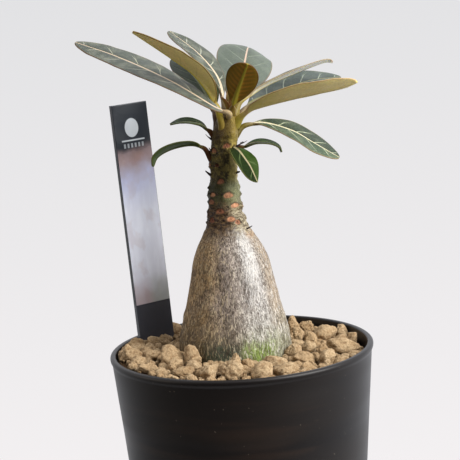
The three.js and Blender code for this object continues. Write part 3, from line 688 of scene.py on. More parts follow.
def rib_frames(leaf, s):
    """Centre, direction, left and up of the leaf at shares s of its rib, and the rib's length."""
    p = np.array(leaf["rib"], float)
    p = np.concatenate([[2 * p[0] - p[1]], p, [2 * p[-1] - p[-2]]])
    t = np.linspace(0, len(p) - 3, 2000)
    i = np.minimum(t.astype(int), len(p) - 4)
    f = (t - i)[:, None]
    a, b, c, d = p[i], p[i + 1], p[i + 2], p[i + 3]
    dense = 0.5 * (2 * b + (c - a) * f + (2 * a - 5 * b + 4 * c - d) * f**2 + (3 * b - a - 3 * c + d) * f**3)
    length = np.concatenate([[0], np.cumsum(np.linalg.norm(np.diff(dense, axis=0), axis=1))])

    def at(share):
        return np.stack([np.interp(share * length[-1], length, dense[:, k]) for k in range(3)], -1)

    along = unit(at(np.minimum(s + 0.002, 1)) - at(np.maximum(s - 0.002, 0)))
    base, tip = p[1], p[-2]
    sideways = unit(np.array([base[1] - tip[1], tip[0] - base[0], 0.0]))
    flat = unit(sideways - (along @ sideways)[:, None] * along)
    up = np.cross(along, flat)
    roll = np.radians(lerp(*leaf["roll"], s))[:, None]
    left = flat * np.cos(roll) + up * np.sin(roll)
    return at(s), along, left, up * np.cos(roll) - flat * np.sin(roll), length[-1]


def half_width(leaf, s):
    """Half of the blade's width at shares s of the rib."""
    base, tip = leaf["shape"]
    u = np.clip((s - leaf["petiole"]) / (1 - leaf["petiole"]), 0, 1)
    widest = base / (base + tip)
    return leaf["width"] / 2 * (u / widest) ** base * ((1 - u) / (1 - widest)) ** tip


def leaf_shape(leaf, seed, rings, half_sides, blade=BLADE):
    """Points, faces and marks of a leaf: round stalk, thin blade with soft margins, round midrib under it."""
    s = RIB_END * np.linspace(0, 1, rings) ** 0.9
    centre, along, left, up, length = rib_frames(leaf, s)
    half = np.maximum(half_width(leaf, s), TIP_HALF_WIDTH)[:, None]
    flattened = smoothstep(s, leaf["petiole"] - 0.08, leaf["petiole"] + 0.05)[:, None]
    turn = np.linspace(0, 1, half_sides + 1)
    over = np.cos(math.pi * turn)
    x = np.concatenate([over, over[::-1]])[None, :]
    under = np.concatenate([0 * turn, 0 * turn + 1])[None, :]
    edge = np.abs(x)
    s = s[:, None]
    run = s * length
    cord = leaf["stalk"] * (1 - 0.75 * s)
    distance = edge * half
    place = np.stack(np.broadcast_arrays(run / 7, np.sign(x) * distance / 5, 0 * s), -1)
    waves = layered(place, seed, 2)
    spacing = leaf.get("veins", VEIN_SPACING)
    slant = leaf.get("slant", VEIN_SLANT)
    phase = (run - slant * distance - VEIN_CURL * distance**2) / spacing + 0.5 * (x > 0) + 0.1 * waves
    fork = phase + leaf.get("fork", FORK) * np.clip(edge - 0.3, 0, 1)
    line = np.abs((phase + 0.5) % 1 - 0.5) * spacing
    groove = np.exp(-((line / 0.35) ** 2)) * smoothstep(edge, 0.02, 0.2) * (1 - smoothstep(edge, 0.75, 1))
    thin = blade * np.sqrt(1 - 0.85 * edge**8)
    rib = cord * np.exp(-((distance / (0.95 * cord)) ** 2))
    channel = CHANNEL * np.exp(-((distance / (0.5 * cord)) ** 2))
    lift = leaf["cup"] * half * edge**CUP_POWER - 0.5 * (blade - thin)
    lift = lift + (WAVES * waves * edge - GROOVE * groove) * smoothstep(half, 1.5, 5)
    lift = lift - np.where(under > 0, thin + rib, channel)
    arc = (0.5 - 0.49 * x) * math.pi * (1 - 2 * under)
    stalk = leaf["stalk"] * (1 + leaf.get("flare", FLARE) * smoothstep(run, 5, 0))
    across = lerp(stalk * np.cos(arc), half * x, flattened)
    height = lerp(stalk * np.sin(arc), lift, flattened)
    points = centre[:, None] + across[..., None] * left[:, None] + height[..., None] * up[:, None]
    points, faces = loft(points, centre[0], centre[-1] + 0.1 * along[-1])

    def fill(values):
        return loft_values(np.broadcast_to(values, across.shape), np.ravel(values)[0], 1)

    rib_width = leaf.get("broad", 1) * (0.16 + 0.5 * leaf["stalk"] * (1 - s) ** 1.2)
    marks = dict(
        under=fill(under), edge=fill(edge), half=fill(0.5 + 0.5 * x), rim=fill((1 - edge) * half),
        rib=fill(distance / rib_width), vein=fill(phase), fork=fill(fork), gap=fill(spacing), run=fill(run),
        stalk=fill(1 - flattened),
    )
    return points, faces, marks


def grow(name, shapes, finish):
    """One piece of all these leaf shapes."""
    skin = Skin(*shapes[0][2])
    for points, faces, marks in shapes:
        skin.add(points, faces, **marks)
    add_piece(name, skin.mesh(name + "_skin"), finish)


def leaves():
    kinds = dict.fromkeys(leaf["skin"] for leaf in LEAVES.values())
    finishes = {kind: leaf_finish(kind, **LEAF_TRAITS.get(kind, {})) for kind in kinds}
    for number, (name, leaf) in enumerate(LEAVES.items()):
        fineness = LARGE_FINENESS if leaf["width"] > LARGE_LEAF else SMALL_FINENESS
        shape = leaf_shape(leaf, LEAF_SEED + LEAF_SEED_STEP * number, *fineness)
        grow(name, [shape], finishes[leaf["skin"]])


def shoot_tip():
    shapes = [leaf_shape(dict(leaf, **SHOOT_FORM), SHOOT_SEED + number, *SHOOT_FINENESS, SHOOT_BLADE)
              for number, leaf in enumerate(SHOOT_LEAVES)]
    grow("shoot_tip", shapes, leaf_finish("shoot"))


def cut(mesh, tool):
    """The mesh with a closed shape taken away from it."""
    work = place_object("work", mesh)
    taken = place_object("taken", finished(tool, "taken"))
    boolean = work.modifiers.new("cut", "BOOLEAN")
    boolean.object = taken
    boolean.solver = "EXACT"
    result = bpy.data.meshes.new_from_object(work.evaluated_get(bpy.context.evaluated_depsgraph_get()))
    bpy.data.objects.remove(work)
    bpy.data.objects.remove(taken)
    return result


def quarter(centre, radius, start, count):
    """Quarter of a circle that touches the pot's top."""
    turns = np.radians(np.linspace(start, start + 90, count))
    return [[centre + radius * math.cos(a), POT_HEIGHT - radius + radius * math.sin(a)] for a in turns]


def pot_profile():
    """Rim, wall and floor of the pot, from the middle of the base round to the middle of the floor."""
    wall_foot = BASE_RADIUS - WALL
    lip_foot = POT_HEIGHT - LIP_HEIGHT
    lip_inside = RIM_RADIUS - 2
    heights = np.linspace(1.4, lip_foot - 0.6, 40)
    wall = [[r, z] for z, r in zip(heights, np.linspace(BASE_RADIUS + 0.1, WALL_TOP_RADIUS, 40))]
    swell = [[lerp(WALL_TOP_RADIUS + 0.05, RIM_RADIUS - 0.02, t * t * (3 - 2 * t)), lip_foot - 0.3 + 1.7 * t]
             for t in np.linspace(0, 1, 8)]
    lip = quarter(RIM_RADIUS - RIM_ROUND, RIM_ROUND, 0, 9)
    inside = quarter(lip_inside + INNER_ROUND, INNER_ROUND, 90, 8)
    return [
        [BASE_RADIUS - 1.2, 0], [BASE_RADIUS - 0.3, 0.4], *wall, *swell, *lip, *inside,
        [lip_inside - 0.05, POT_HEIGHT - 2], [WALL_TOP_RADIUS - WALL, lip_foot - 1],
        [wall_foot + 0.1, FLOOR + 1], [wall_foot - 0.9, FLOOR],
    ]


def pot():
    r, z = np.array(pot_profile(), float).T
    z, turn = np.meshgrid(z, full_turn(POT_SIDES), indexing="ij")
    around = turn / (2 * math.pi)
    wave = noise(np.stack([around * 6, z / 11], -1), 41, 6) * span(z, *POT_WAVE_SPAN)
    r = r[:, None] + POT_WAVE * wave
    rings = np.stack([r * np.cos(turn), r * np.sin(turn), z], -1)
    points, faces = loft(rings, np.array([0, 0, 0.0]), np.array([0, 0, float(FLOOR)]))
    skin = Skin()
    skin.add(points, faces)
    mesh = skin.mesh("pot_skin")
    for i in range(DRAINS):
        turn = (i + 0.5) / DRAINS * 2 * math.pi
        drain = bmesh.new()
        centre = Vector((DRAIN_CIRCLE * math.cos(turn), DRAIN_CIRCLE * math.sin(turn), FLOOR / 2)) * MM
        bmesh.ops.create_cone(
            drain, cap_ends=True, segments=DRAIN_SIDES, radius1=DRAIN_RADIUS * MM, radius2=DRAIN_RADIUS * MM,
            depth=3 * FLOOR * MM, matrix=Matrix.Translation(centre))
        mesh = cut(mesh, drain)
    add_piece("pot", mesh, pot_plastic())


def bed_height(x):
    return BED_TOP + BED_SLOPE * x


def label_matrix():
    yaw, lean, tilt = (math.radians(angle) for angle in (LABEL_YAW, LABEL_LEAN, LABEL_TILT))
    turn = Matrix.Rotation(yaw, 4, "Z") @ Matrix.Rotation(lean, 4, "Y") @ Matrix.Rotation(tilt, 4, "X")
    return Matrix.Translation(LABEL_PLACE) @ turn


def meets_label(x, y, size):
    """True where a stone of this size would stand on the label's line."""
    local = label_matrix().inverted() @ Vector((x, y, LABEL_PLACE[2]))
    return abs(local.x) < LABEL_WIDTH / 2 + size and abs(local.y) < LABEL_THICKNESS / 2 + 0.7 * size


def stone_places(draw):
    """Centre, top, half lengths, tilt, turn and size of every stone."""
    places = [[x, y, top, along, across, math.radians(tilt), 0, (along + across) / 2]
              for x, y, top, along, across, tilt in FRONT_STONES]
    for _ in range(STONE_TRIES):
        if len(places) == STONE_COUNT:
            break
        size = lerp(*STONE_SIZE, draw())
        radius = math.sqrt(lerp(STONE_RING**2, (STONE_REACH - size) ** 2, draw()))
        angle = 2 * math.pi * draw()
        rise = lerp(*STONE_RISE, draw())
        slimness = lerp(0.75, 1, draw())
        x, y = radius * math.cos(angle), radius * math.sin(angle)
        clear = all(math.hypot(p[0] - x, p[1] - y) > STONE_SPACING * (p[7] + size) for p in places)
        if clear and not meets_label(x, y, size):
            places.append([x, y, bed_height(x) + rise * size, size, size * slimness, 0, angle, size])
    return places


def sphere(fineness):
    """Directions and triangles of a fine ball."""
    ball = bmesh.new()
    bmesh.ops.create_icosphere(ball, subdivisions=fineness, radius=1)
    points = np.array([vertex.co[:] for vertex in ball.verts])
    faces = np.array([[vertex.index for vertex in face.verts] for face in ball.faces])
    ball.free()
    return unit(points), faces


def crumbly(directions, rng, seed, facets):
    """Radius of a broken, pitted grain in each direction."""
    normals = unit(rng.normal(size=(facets, 3)))
    offsets = rng.uniform(*FACET_DEPTH, facets)
    facing = np.maximum(directions @ normals.T, 0.05)
    planes = np.concatenate([offsets / facing, np.full((len(directions), 1), 1.08)], axis=1)
    flat = -np.log(np.exp(-planes * FACET_SHARPNESS).sum(axis=1)) / FACET_SHARPNESS
    rough = 0.13 * layered(directions * 2.4 + seed, 51, 4) + 0.035 * noise(directions * 12 + seed, 57)
    pits = smoothstep(noise(directions * 4.5 + seed, 61), 0.3, 0.6)
    return flat * (1 + rough - 0.13 * pits), pits


def pressed(points):
    """Points moved in from the pot's wall."""
    reach = np.hypot(points[:, 0], points[:, 1])
    points[:, :2] *= np.minimum(1, STONE_REACH / reach)[:, None]
    return points


def add_broken(skin, ball, rng, seed, size, x, y, rise):
    """One loose grain of this size, turned any way, on the bed."""
    directions, triangles = ball
    radius, pits = crumbly(directions, rng, seed, GRAIN_FACETS)
    turn, tip = rng.uniform(0, 2 * math.pi, 2)
    rotation = np.array(Matrix.Rotation(turn, 3, "Z") @ Matrix.Rotation(tip, 3, "X"))
    points = (directions * radius[:, None] * size * rng.uniform(0.75, 1.05, 3)) @ rotation.T
    points = pressed(points + [x, y, bed_height(x) + rise * size])
    skin.add(points, [triangles], pit=pits, tone=rng.uniform(0, 1))


def add_grains(skin, places, rng):
    """Middle-sized grains thrown at the gaps between the stones."""
    ball = sphere(GRAIN_FINENESS)
    taken = [(x, y, 0.8 * size) for x, y, *_, size in places]
    kept = 0
    for attempt in range(GRAIN_TRIES):
        if kept == GRAIN_COUNT:
            break
        size = rng.uniform(*GRAIN_SIZE)
        r = math.sqrt(rng.uniform(GRAIN_RING**2, (STONE_REACH - 0.7 * size) ** 2))
        angle = rng.uniform(0, 2 * math.pi)
        x, y = r * math.cos(angle), r * math.sin(angle)
        if any(math.hypot(a - x, b - y) < GRAIN_SPACING * (other + size) for a, b, other in taken):
            continue
        taken.append((x, y, size))
        kept += 1
        add_broken(skin, ball, rng, GRAIN_SHAPES + attempt, size, x, y, GRAIN_RISE)


def add_chips(skin, rng):
    """Small chips that fill the last hollows."""
    ball = sphere(CHIP_FINENESS)
    for number in range(CHIP_COUNT):
        size = rng.uniform(*CHIP_SIZE)
        r = math.sqrt(rng.uniform(CHIP_RING**2, (STONE_REACH - 0.5) ** 2))
        angle = rng.uniform(0, 2 * math.pi)
        x, y = r * math.cos(angle), r * math.sin(angle)
        add_broken(skin, ball, rng, CHIP_SHAPES + number, size, x, y, CHIP_RISE)


def add_bed(skin):
    """The soil: a closed body that fills the pot, with a grainy top."""
    wall_foot = BASE_RADIUS - WALL - SOIL_GAP
    wall_top = WALL_TOP_RADIUS - WALL - SOIL_GAP
    edge = wall_foot + (wall_top - wall_foot) * 0.97
    low = FLOOR + SOIL_GAP
    side = [[wall_foot - 1, low], [wall_foot, FLOOR + 1.2], [edge, BED_TOP - 2.5], [edge, BED_TOP - 1]]
    top = [[r, BED_TOP - 0.4] for r in np.linspace(edge - 0.4, 10, 50)]
    r, z = np.array(side + top, float).T
    r, turn = np.meshgrid(r, full_turn(BED_SIDES), indexing="ij")
    x, y = r * np.cos(turn), r * np.sin(turn)
    z = z[:, None] + np.where(z > BED_TOP / 2, 1, 0)[:, None] * BED_SLOPE * x
    z[len(side):] += SOIL_ROUGHNESS * layered(np.stack([x, y], -1)[len(side):] / 1.6, 71, 2)
    points, faces = loft(np.stack([x, y, z], -1), np.array([0, 0, low]), np.array([0, 0, BED_TOP - 0.4]))
    skin.add(points, faces, pit=0.35, tone=0.2, bed=1)


def substrate():
    """The listed and scattered stones as one piece, the soil between them as another."""
    skin = Skin("pit", "tone", "bed")
    draw = seeded(STONE_SEED)
    rng = np.random.default_rng(STONE_SEED)
    places = stone_places(draw)
    directions, triangles = sphere(STONE_FINENESS)
    for number, (x, y, top, along, across, tilt, turn, _) in enumerate(places):
        lumps = [2 * math.pi * draw() for _ in range(3)]
        foot = bed_height(x) - STONE_DEPTH
        half_height = (top - foot) / 2
        waves = np.sin(LUMPS * directions + lumps).sum(axis=1)
        radius, pits = crumbly(directions, rng, STONE_SHAPES * number, STONE_FACETS)
        points = directions * ((1 + LUMP_HEIGHT * waves / 3) * radius)[:, None]
        points = points * [along, across, half_height]
        rotation = np.array(Matrix.Rotation(turn, 3, "Z") @ Matrix.Rotation(tilt, 3, "Y"))
        points = pressed(points @ rotation.T + [x, y, foot + half_height])
        skin.add(points, [triangles], pit=pits, tone=rng.uniform(0, 1))
    finish = grains()
    add_piece("substrate", skin.mesh("substrate_stones"), finish, "stones")
    soil = Skin("pit", "tone", "bed")
    add_grains(soil, places, np.random.default_rng(GRAIN_SEED))
    add_chips(soil, np.random.default_rng(CHIP_SEED))
    add_bed(soil)
    add_piece("substrate", soil.mesh("substrate_soil"), finish, "soil")


def plant_label():
    half, shoulder = LABEL_WIDTH / 2, LABEL_POINT - LABEL_BELOW
    left = [(-half, LABEL_ABOVE), (-half, shoulder), (-1, -LABEL_BELOW)]
    outline = left + [(-x, z) for x, z in reversed(left)]
    strip = bmesh.new()
    front = [strip.verts.new((x, -LABEL_THICKNESS / 2, z)) for x, z in outline]
    face = strip.faces.new(front)
    extruded = bmesh.ops.extrude_face_region(strip, geom=[face])
    moved = [part for part in extruded["geom"] if isinstance(part, bmesh.types.BMVert)]
    bmesh.ops.translate(strip, verts=moved, vec=(0, LABEL_THICKNESS, 0))
    bmesh.ops.recalc_face_normals(strip, faces=strip.faces)
    bmesh.ops.bevel(strip, geom=strip.edges[:], offset=LABEL_BEVEL, segments=3, profile=0.7, affect="EDGES")
    mesh = finished(strip, "plant_label_skin")
    for axis, mark in enumerate(("across", "through", "along")):
        values = [vertex.co[axis] for vertex in mesh.vertices]
        mesh.attributes.new(mark, "FLOAT", "POINT").data.foreach_set("value", values)
    mesh.transform(Matrix.Scale(MM, 4) @ label_matrix())
    add_piece("plant_label", mesh, label_plastic())


# Finishes

def srgb(red, green, blue):
    """Linear colour of an 8-bit screen colour."""
    channels = [c / 255 for c in (red, green, blue)]
    return (*(c / 12.92 if c <= 0.04045 else ((c + 0.055) / 1.055) ** 2.4 for c in channels), 1.0)


def darker(colour, share):
    return tuple(share * c for c in colour)


class Nodes:
    """Node tree, with short calls that add nodes to it."""

    def __init__(self, tree):
        self.tree = tree

    def wire(self, socket, value):
        if isinstance(value, Value):
            self.tree.links.new(value.socket, socket)
        else:
            socket.default_value = value

    def add(self, kind, inputs, output=0, **options):
        node = self.tree.nodes.new("ShaderNode" + kind)
        for option, value in options.items():
            setattr(node, option, value)
        for key, value in inputs.items():
            self.wire(node.inputs[key], value)
        return Value(self, node.outputs[output])

    def paint(self, colour, *coats):
        """A colour with others laid over it, each by its own share. Plain ones are 8-bit screen colours."""
        for share, coat in coats:
            under, over = (srgb(*c) if isinstance(c, tuple) else c for c in (colour, coat))
            colour = self.add("Mix", {0: share, 6: under, 7: over}, 2, data_type="RGBA")
        return colour


class Value:
    """Number or colour in a node tree, with the sums that can be done on it."""

    def __init__(self, nodes, socket):
        self.nodes = nodes
        self.socket = socket

    def math(self, operation, other=0.0):
        return self.nodes.add("Math", {0: self, 1: other}, operation=operation)

    __add__ = partialmethod(math, "ADD")
    __sub__ = partialmethod(math, "SUBTRACT")
    __mul__ = partialmethod(math, "MULTIPLY")
    __truediv__ = partialmethod(math, "DIVIDE")
    __abs__ = partialmethod(math, "ABSOLUTE")
    larger = partialmethod(math, "MAXIMUM")
    fraction = partialmethod(math, "FRACT")
    power = partialmethod(math, "POWER")

    def step(self, low, high, start=0.0, end=1.0):
        """Smooth way from start to end while the number goes from low to high."""
        inputs = {0: self, 1: low, 2: high, 3: start, 4: end}
        return self.nodes.add("MapRange", inputs, interpolation_type="SMOOTHSTEP")

    def within(self, low, high, soft=0.1):
        """1 between two limits and 0 past them, with soft edges."""
        return self.step(low - soft, low + soft) * self.step(high + soft, high - soft)


class Finish(Nodes):
    """Material with its main shader."""

    def __init__(self, name, settings):
        self.material = bpy.data.materials.new(name)
        self.material.use_nodes = True
        super().__init__(self.material.node_tree)
        self.shader = self.tree.nodes["Principled BSDF"]
        metres = self.add("TexCoord", {}, "Object")
        self.place = self.add("VectorMath", {0: metres, "Scale": 1 / MM}, operation="SCALE")
        self.give(settings)

    def give(self, settings):
        for name, value in settings.items():
            self.wire(self.shader.inputs[name], value)

    def mark(self, name):
        return self.add("Attribute", {}, "Fac", attribute_name=name)

    def axis(self, name):
        return self.add("SeparateXYZ", {0: self.place}, name)

    def noise(self, scale, stretch=(1, 1, 1), detail=3.0, roughness=0.5, distortion=0.0):
        vector = self.add("VectorMath", {0: self.place, 1: stretch}, operation="MULTIPLY")
        look = {"Scale": scale, "Detail": detail, "Roughness": roughness, "Distortion": distortion}
        return self.add("TexNoise", {"Vector": vector, **look})

    def bump(self, height):
        """Relief from a height in millimetres."""
        self.give({"Normal": self.add("Bump", {"Height": height, "Strength": 1.0, "Distance": MM})})


def pot_plastic():
    """Black plastic with faint brown moulding bands, specks of dust and a few scuffs."""
    finish = Finish("pot_plastic", {"Specular IOR Level": 0.36})
    bands = finish.noise(0.035, (0.3, 0.3, 2.2), 1, 0.5, 0.4)
    broad = finish.noise(0.04, (0.25, 0.25, 2.2), 3, 0.55, 0.2)
    specks = finish.noise(0.9, detail=1).step(0.78, 0.8)
    scuffs = finish.noise(0.5, (1, 1, 3), 2, 0.6, 2.0).step(0.68, 0.76)
    colour = finish.paint(
        (10, 7, 8),
        (bands.step(0.3, 0.7), (20, 14, 11)),
        (broad.step(0.54, 0.7, 0, 0.8), (37, 26, 19)),
        (specks * 0.3, (140, 128, 112)),
        (scuffs * 0.08, (120, 100, 84)),
    )
    finish.give({"Base Color": colour, "Roughness": bands.step(0.2, 0.8, 0.36, 0.46)})
    finish.bump(bands * 0.6 + finish.noise(1.6, detail=2) * 0.006)
    return finish.material


def grains():
    """Dry tan grains, each in a tone of its own, darker in their pits, over dark soil."""
    finish = Finish("grains", {"Roughness": 0.95, "Specular IOR Level": 0.15})
    fine = finish.noise(1.3, detail=5, roughness=0.7)
    dots = finish.noise(3.2, detail=3, roughness=0.65)
    colour = finish.paint(
        (184, 154, 116),
        (finish.mark("tone"), (216, 190, 152)),
        (finish.noise(0.35).step(0.35, 0.7), (202, 174, 136)),
        (fine.step(0.56, 0.38, 0, 0.55), (154, 120, 82)),
        (dots.step(0.42, 0.3, 0, 0.75), (108, 78, 48)),
        (finish.mark("pit") * 0.5, (134, 100, 64)),
        (finish.mark("bed"), (84, 62, 40)),
    )
    finish.give({"Base Color": colour})
    finish.bump(fine * 1.1 + dots * 0.5)
    return finish.material


def bark():
    """Grey fibrous caudex, tan on the left and mossy at its foot, under a brown and green scarred stem."""
    finish = Finish("bark", {"Specular IOR Level": 0.3})
    height, side, front = finish.axis("Z"), finish.mark("side"), finish.mark("front")
    wander = finish.noise(0.14)
    fibres = finish.noise(2.6, (1, 1, 0.2), 2, 0.6, 0.5)
    strands = finish.noise(1.45, (1, 1, 0.17), 3, 0.6, 0.8)
    wormy = finish.noise(0.9, (1, 1, 0.3), 2, 0.5, 1.4)
    dashes = finish.noise(1.9, (1, 1, 0.34), 2, 0.5, 0.8)
    mottle = finish.noise(0.8, (1, 1, 0.9), 4, 0.65)
    drift = side + (wander - 0.5) * 0.6
    # A smoother patch of bark on the front right with fewer cracks, painted pale: partly the bark's own paler
    # colour, partly a painted highlight.
    smooth = side.within(0.32, 0.7, 0.09) * height.step(95, 108) * front.step(0, 0.4)
    cracks = abs(wormy - 0.5).step(0.045, 0.009) * finish.noise(0.3, (1, 1, 0.5), 2).step(0.38, 0.55, 0.35, 1)
    cracks = cracks.larger(dashes.step(0.41, 0.35)) * smooth.step(0, 1, 1, 0.3)
    cracks = cracks * side.step(-0.2, 0.5, 1, 0.75)

    foot = height + finish.noise(0.35, detail=4, roughness=0.6) * 8
    # A dark patch on the caudex's left, just under the neck: painted shade.
    shade_under_neck = side.within(-0.8, -0.1, 0.15) * foot.step(120, 124)
    tan_spot = side.step(0.6, 0.8) * height.within(118.4, 120.6, 0.8)
    ropes = finish.paint((190, 170, 134), (side.step(-0.3, 0.4), (214, 208, 198)))
    damp = finish.paint((86, 74, 48), (side.step(0, 0.4), (158, 156, 140)))
    teal = side.within(-0.6, 0.1, 0.15) * foot.step(93, 85)
    tinge = side.within(0.1, 0.95, 0.12) * foot.step(95, 86)
    moss = side.within(0.14, 0.66, 0.12) * foot.step(91, 86) * front.step(0, 0.3)
    caudex = finish.paint(
        (168, 138, 96),
        (drift.step(-0.75, -0.1), (160, 147, 136)),
        (drift.step(-0.05, 0.5), (180, 175, 170)),
        (side.step(0.62, 0.95, 0, 0.8), (166, 144, 114)),
        (wander.step(0.5, 0.62, 0, 0.35), (134, 118, 106)),
        (shade_under_neck * 0.6, (74, 58, 46)),
        (smooth * 0.7, (196, 194, 190)),
        (tan_spot * 0.5, (206, 160, 118)),
        (foot.step(104, 86, 0, 0.7), damp),
        (teal * 0.8, (44, 66, 48)),
        (tinge * 0.45, (132, 140, 92)),
        (moss * strands.step(0.38, 0.5, 0.45, 0.9), (128, 150, 60)),
        (strands.step(0.53, 0.58, 0, 0.6), ropes),
        (strands.step(0.46, 0.39, 0, 0.5), (92, 75, 57)),
        (fibres.step(0.44, 0.37, 0, 0.5), (76, 63, 49)),
        (cracks * 0.7, (60, 49, 38)),
    )

    # The stem is painted lighter on its right side, painted light; the band from 128 to 137.5 mm has painted
    # shade on the left and painted light on the right; its top under the leaves is painted darker, painted
    # shade, lighter again on the right.
    shaded = finish.paint((26, 32, 8), (mottle, (78, 76, 34)))
    lit = finish.paint((84, 92, 46), (mottle, (186, 184, 136)))
    stem = finish.paint(
        (60, 50, 22),
        (mottle.step(0.4, 0.62), (126, 112, 56)),
        ((side + (mottle - 0.5) * 0.9).step(0.15, 0.6) * 0.8, (208, 186, 100)),
        (height.within(128, 137.5, 2), finish.paint(shaded, (drift.step(-0.2, 0.5), lit))),
        (fibres.step(0.6, 0.42, 0, 0.3), (56, 46, 28)),
        (height.step(146, 156, 0, 0.75), finish.paint((74, 52, 10), (side.step(-0.3, 0.5), (128, 106, 34)))),
    )
    plates = finish.noise(0.9, (0.7, 0.7, 1.6), 3, 0.6, 0.8).step(0.4, 0.6)
    pale_neck = finish.paint((96, 80, 54), (plates, (180, 168, 138)))
    neck = finish.paint((48, 31, 18), (plates, (104, 80, 50)), (drift.step(0.0, 0.6), pale_neck))
    scar = finish.paint((112, 56, 30), (finish.mark("pale"), (224, 164, 122)))
    stem = finish.paint(neck, ((height + mottle * 6).step(130, 136), stem))
    colour = finish.paint(
        caudex,
        ((height + mottle * 8).step(121, 127), stem),
        (finish.mark("scar"), finish.paint(scar, (mottle.step(0.56, 0.42, 0, 0.45), (120, 66, 40)))),
        # Dry stubs, bristles and dark nodules in their own colour, with painted shade in the scars' holes and
        # painted shadow over their upper rims.
        (finish.mark("dry"), (46, 30, 24)),
    )
    finish.give({"Base Color": colour, "Roughness": side.step(-0.2, 0.6, 0.62, 0.45)})
    finish.bump(cracks * -0.32 + fibres * 0.12 + strands * 0.24 + mottle * 0.25)
    return finish.material


def leaf_finish(kind, vein_width=0.13, sheen=0.3, shades=(0.0, 0.0), blush=0.5):
    """Leaf with a pale midrib, thin forked side veins, a narrow margin and its own underside."""
    upper, lower, veins, rib_over, rib_under, margin, stalk, foot = LEAF_COLOURS[kind]
    finish = Finish("leaf_" + kind, {
        "Roughness": 0.45, "Specular IOR Level": sheen, "Subsurface Weight": 0.25,
        "Subsurface Scale": 0.6 * MM, "Subsurface Radius": (0.9, 1.0, 0.5),
    })
    under, edge, run = finish.mark("under"), finish.mark("edge"), finish.mark("run")
    cloud = finish.noise(0.22)
    cells = finish.noise(1.5, detail=4, roughness=0.65)
    thick = edge.step(0, 1, 1.5 * vein_width, 0.7 * vein_width)

    def line(mark):
        away = abs((finish.mark(mark) + 0.5).fraction() - 0.5) * finish.mark("gap")
        return (away / thick).step(1.6, 0.5)

    vein = line("vein").larger(line("fork") * edge.step(0.28, 0.4, 0, 0.6))
    vein = vein * edge.step(1.0, 0.45) * cloud.step(0.35, 0.5, 0.7, 1) * under.step(0, 1, 1, 0.4)
    face = finish.paint(
        upper,
        (cloud.step(0.4, 0.65, 0, 0.22), veins),
        (cells.step(0.6, 0.4, 0, 0.3), darker(upper, 0.8)),
        (edge.step(0.0, 0.5, 0.35, 0), darker(upper, 0.74)),
        # Painted shade over one half of the blade.
        (finish.mark("half").step(0.48, 0.52, *shades), darker(upper, 0.5)),
    )
    back = finish.paint(
        lower,
        (cells.step(0.4, 0.6, 0, 0.35), darker(lower, 0.85)),
        (run.step(30, 10, 0, blush), stalk),
    )
    colour = finish.paint(
        face,
        (under, back),
        (vein, veins),
        (finish.mark("rib").step(1.2, 0.7), finish.paint(rib_over, (under, rib_under))),
        (finish.mark("rim").step(0.34, 0.2, 0, 0.85), margin),
        (finish.mark("stalk"), finish.paint(stalk, (run.step(10, 4), foot))),
    )
    finish.give({"Base Color": colour})
    finish.bump(cells * 0.06 + vein * -0.05)
    return finish.material


def label_plastic():
    """Black glossy strip with a small print, and a painted reflection in lilac grey over most of its front.
    """
    finish = Finish("label_plastic", {"Specular IOR Level": 0.5})
    along, across = finish.mark("along"), finish.mark("across")
    front = finish.mark("through").step(-0.8, -0.95)
    # Painted reflection on the front: pale blue-white low down, lilac higher up, pinkish brown at the top,
    # greyer towards the foot, with faint streaks and soft ragged edges.
    ragged_along = along + (finish.noise(0.1) - 0.5) * 12
    painted_reflection = finish.paint(
        (238, 242, 255),
        (ragged_along.step(42, 58), (200, 205, 238)),
        (ragged_along.step(56, 63), (160, 132, 128)),
        (finish.noise(0.16, (1, 1, 0.7)).step(0.5, 0.62, 0, 0.3), (196, 180, 182)),
        (ragged_along.step(24, 12, 0, 0.7), finish.paint((176, 150, 150), (across.step(-2, 2), (150, 158, 142)))),
        (finish.noise(0.5, (1, 1, 0.2)).step(0.4, 0.65, 0.15, 0), (178, 178, 200)),
    )
    area = across.within(*REFLECTION_ACROSS) * ragged_along.step(*REFLECTION_TOP) * front * along.step(*REFLECTION_FOOT)

    def from_centre(value, centre, half):
        return ((value - centre) / half).power(2)

    oval = from_centre(across, *OVAL_ACROSS) + from_centre(along, *OVAL_ALONG)
    bar = along.within(*BAR_ALONG) * across.within(-BAR_HALF, BAR_HALF)
    dashes = along.within(*DASHES_ALONG) * across.within(-DASHES_HALF, DASHES_HALF)
    dashes = dashes * (across * DASHES_PER_MM).fraction().within(0.25, 0.75) * 0.6
    printed = oval.step(1.06, 0.94).larger(bar.larger(dashes)) * front
    # The front is painted lighter than the back, and lighter again below the painted reflection: painted
    # reflection on the black plastic.
    black = finish.paint((22, 27, 34), (front, (44, 49, 56)), (along.step(12, 10), (70, 73, 82)))
    colour = finish.paint(black, (area, painted_reflection), (printed, (196, 202, 208)))
    finish.give({"Base Color": colour, "Roughness": area.step(0, 1, 0.18, 0.34)})
    return finish.material


# Stage

def stage_floor():
    """Pale round floor that fades into the backdrop."""
    disc = bmesh.new()
    bmesh.ops.create_circle(disc, cap_ends=True, segments=STAGE_SIDES, radius=STAGE_RADIUS)
    floor = place_object("floor", finished(disc, "floor"))
    finish = Finish("floor", {"Base Color": srgb(*STAGE_COLOUR), "Roughness": 0.9, "Specular IOR Level": 0.1})
    spread = finish.add("VectorMath", {0: finish.place}, "Value", operation="LENGTH")
    finish.give({"Alpha": spread.step(*STAGE_FADE)})
    floor.data.materials.append(finish.material)


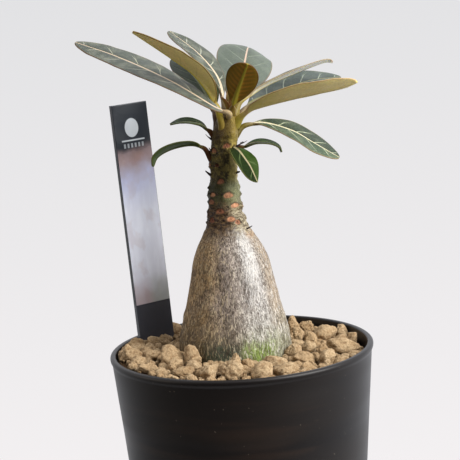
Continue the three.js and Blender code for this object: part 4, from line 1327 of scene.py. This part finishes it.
def backdrop():
    """Pale backdrop for the camera, and a soft studio round the plant for the light."""
    world = bpy.data.worlds.new("studio")
    bpy.context.scene.world = world
    world.use_nodes = True
    world.node_tree.nodes.clear()
    nodes = Nodes(world.node_tree)
    direction = nodes.add("TexCoord", {}, "Generated")
    rise = nodes.add("SeparateXYZ", {0: direction}, "Z")
    low, high = BACKDROP_SPAN
    pale = nodes.paint(BACKDROP_LOW, (nodes.add("MapRange", {0: rise, 1: low, 2: high}), BACKDROP_HIGH))
    bright = nodes.add("VectorMath", {0: direction, 1: STUDIO_BRIGHT_SIDE}, "Value", operation="DOT_PRODUCT")
    studio = nodes.add("Background", {0: srgb(*STUDIO_COLOUR), 1: bright.step(-1.0, 1.0, *STUDIO_LEVELS)})
    seen = nodes.add("LightPath", {}, "Is Camera Ray")
    view = nodes.add("MixShader", {0: seen, 1: studio, 2: nodes.add("Background", {0: pale})})
    nodes.wire(world.node_tree.nodes.new("ShaderNodeOutputWorld").inputs[0], view)


def area_light(name, azimuth, elevation, distance, size, power, colour):
    """Soft lamp aimed at the plant."""
    turn, rise = math.radians(azimuth), math.radians(elevation)
    outward = Vector((math.sin(turn) * math.cos(rise), -math.cos(turn) * math.cos(rise), math.sin(rise)))
    lamp = bpy.data.lights.new(name, "AREA")
    lamp.shape = "RECTANGLE"
    lamp.size, lamp.size_y = size
    lamp.energy = power
    lamp.color = colour
    placed = place_object(name, lamp)
    aimed = outward.to_track_quat("Z", "Y").to_matrix().to_4x4()
    placed.matrix_world = Matrix.Translation(Vector(LAMP_TARGET) + distance * outward) @ aimed
    placed.visible_camera = False


def place_camera():
    pitch, roll = math.radians(CAMERA_PITCH), math.radians(CAMERA_ROLL)
    forward = Vector((0, math.cos(pitch), -math.sin(pitch)))
    level = Vector((1, 0, 0))
    upright = level.cross(forward)
    right = math.cos(roll) * level + math.sin(roll) * upright
    up = math.cos(roll) * upright - math.sin(roll) * level
    camera = bpy.data.cameras.new("camera")
    camera.sensor_width = SENSOR
    camera.lens = SENSOR * FOCAL_PIXELS / FRAME_PIXELS
    camera.clip_start = 0.01
    placed = place_object("camera", camera)
    turn = Matrix((right, up, -forward)).transposed().to_4x4()
    at = (Vector(CAMERA_TARGET) - CAMERA_DISTANCE * forward) * MM
    placed.matrix_world = Matrix.Translation(at) @ turn
    bpy.context.scene.camera = placed


place_camera()
pot()
substrate()
caudex_stem()
leaves()
shoot_tip()
plant_label()
stage_floor()
backdrop()
for lamp in LAMPS:
    area_light(*lamp)
bpy.context.scene.view_settings.view_transform = "Standard"
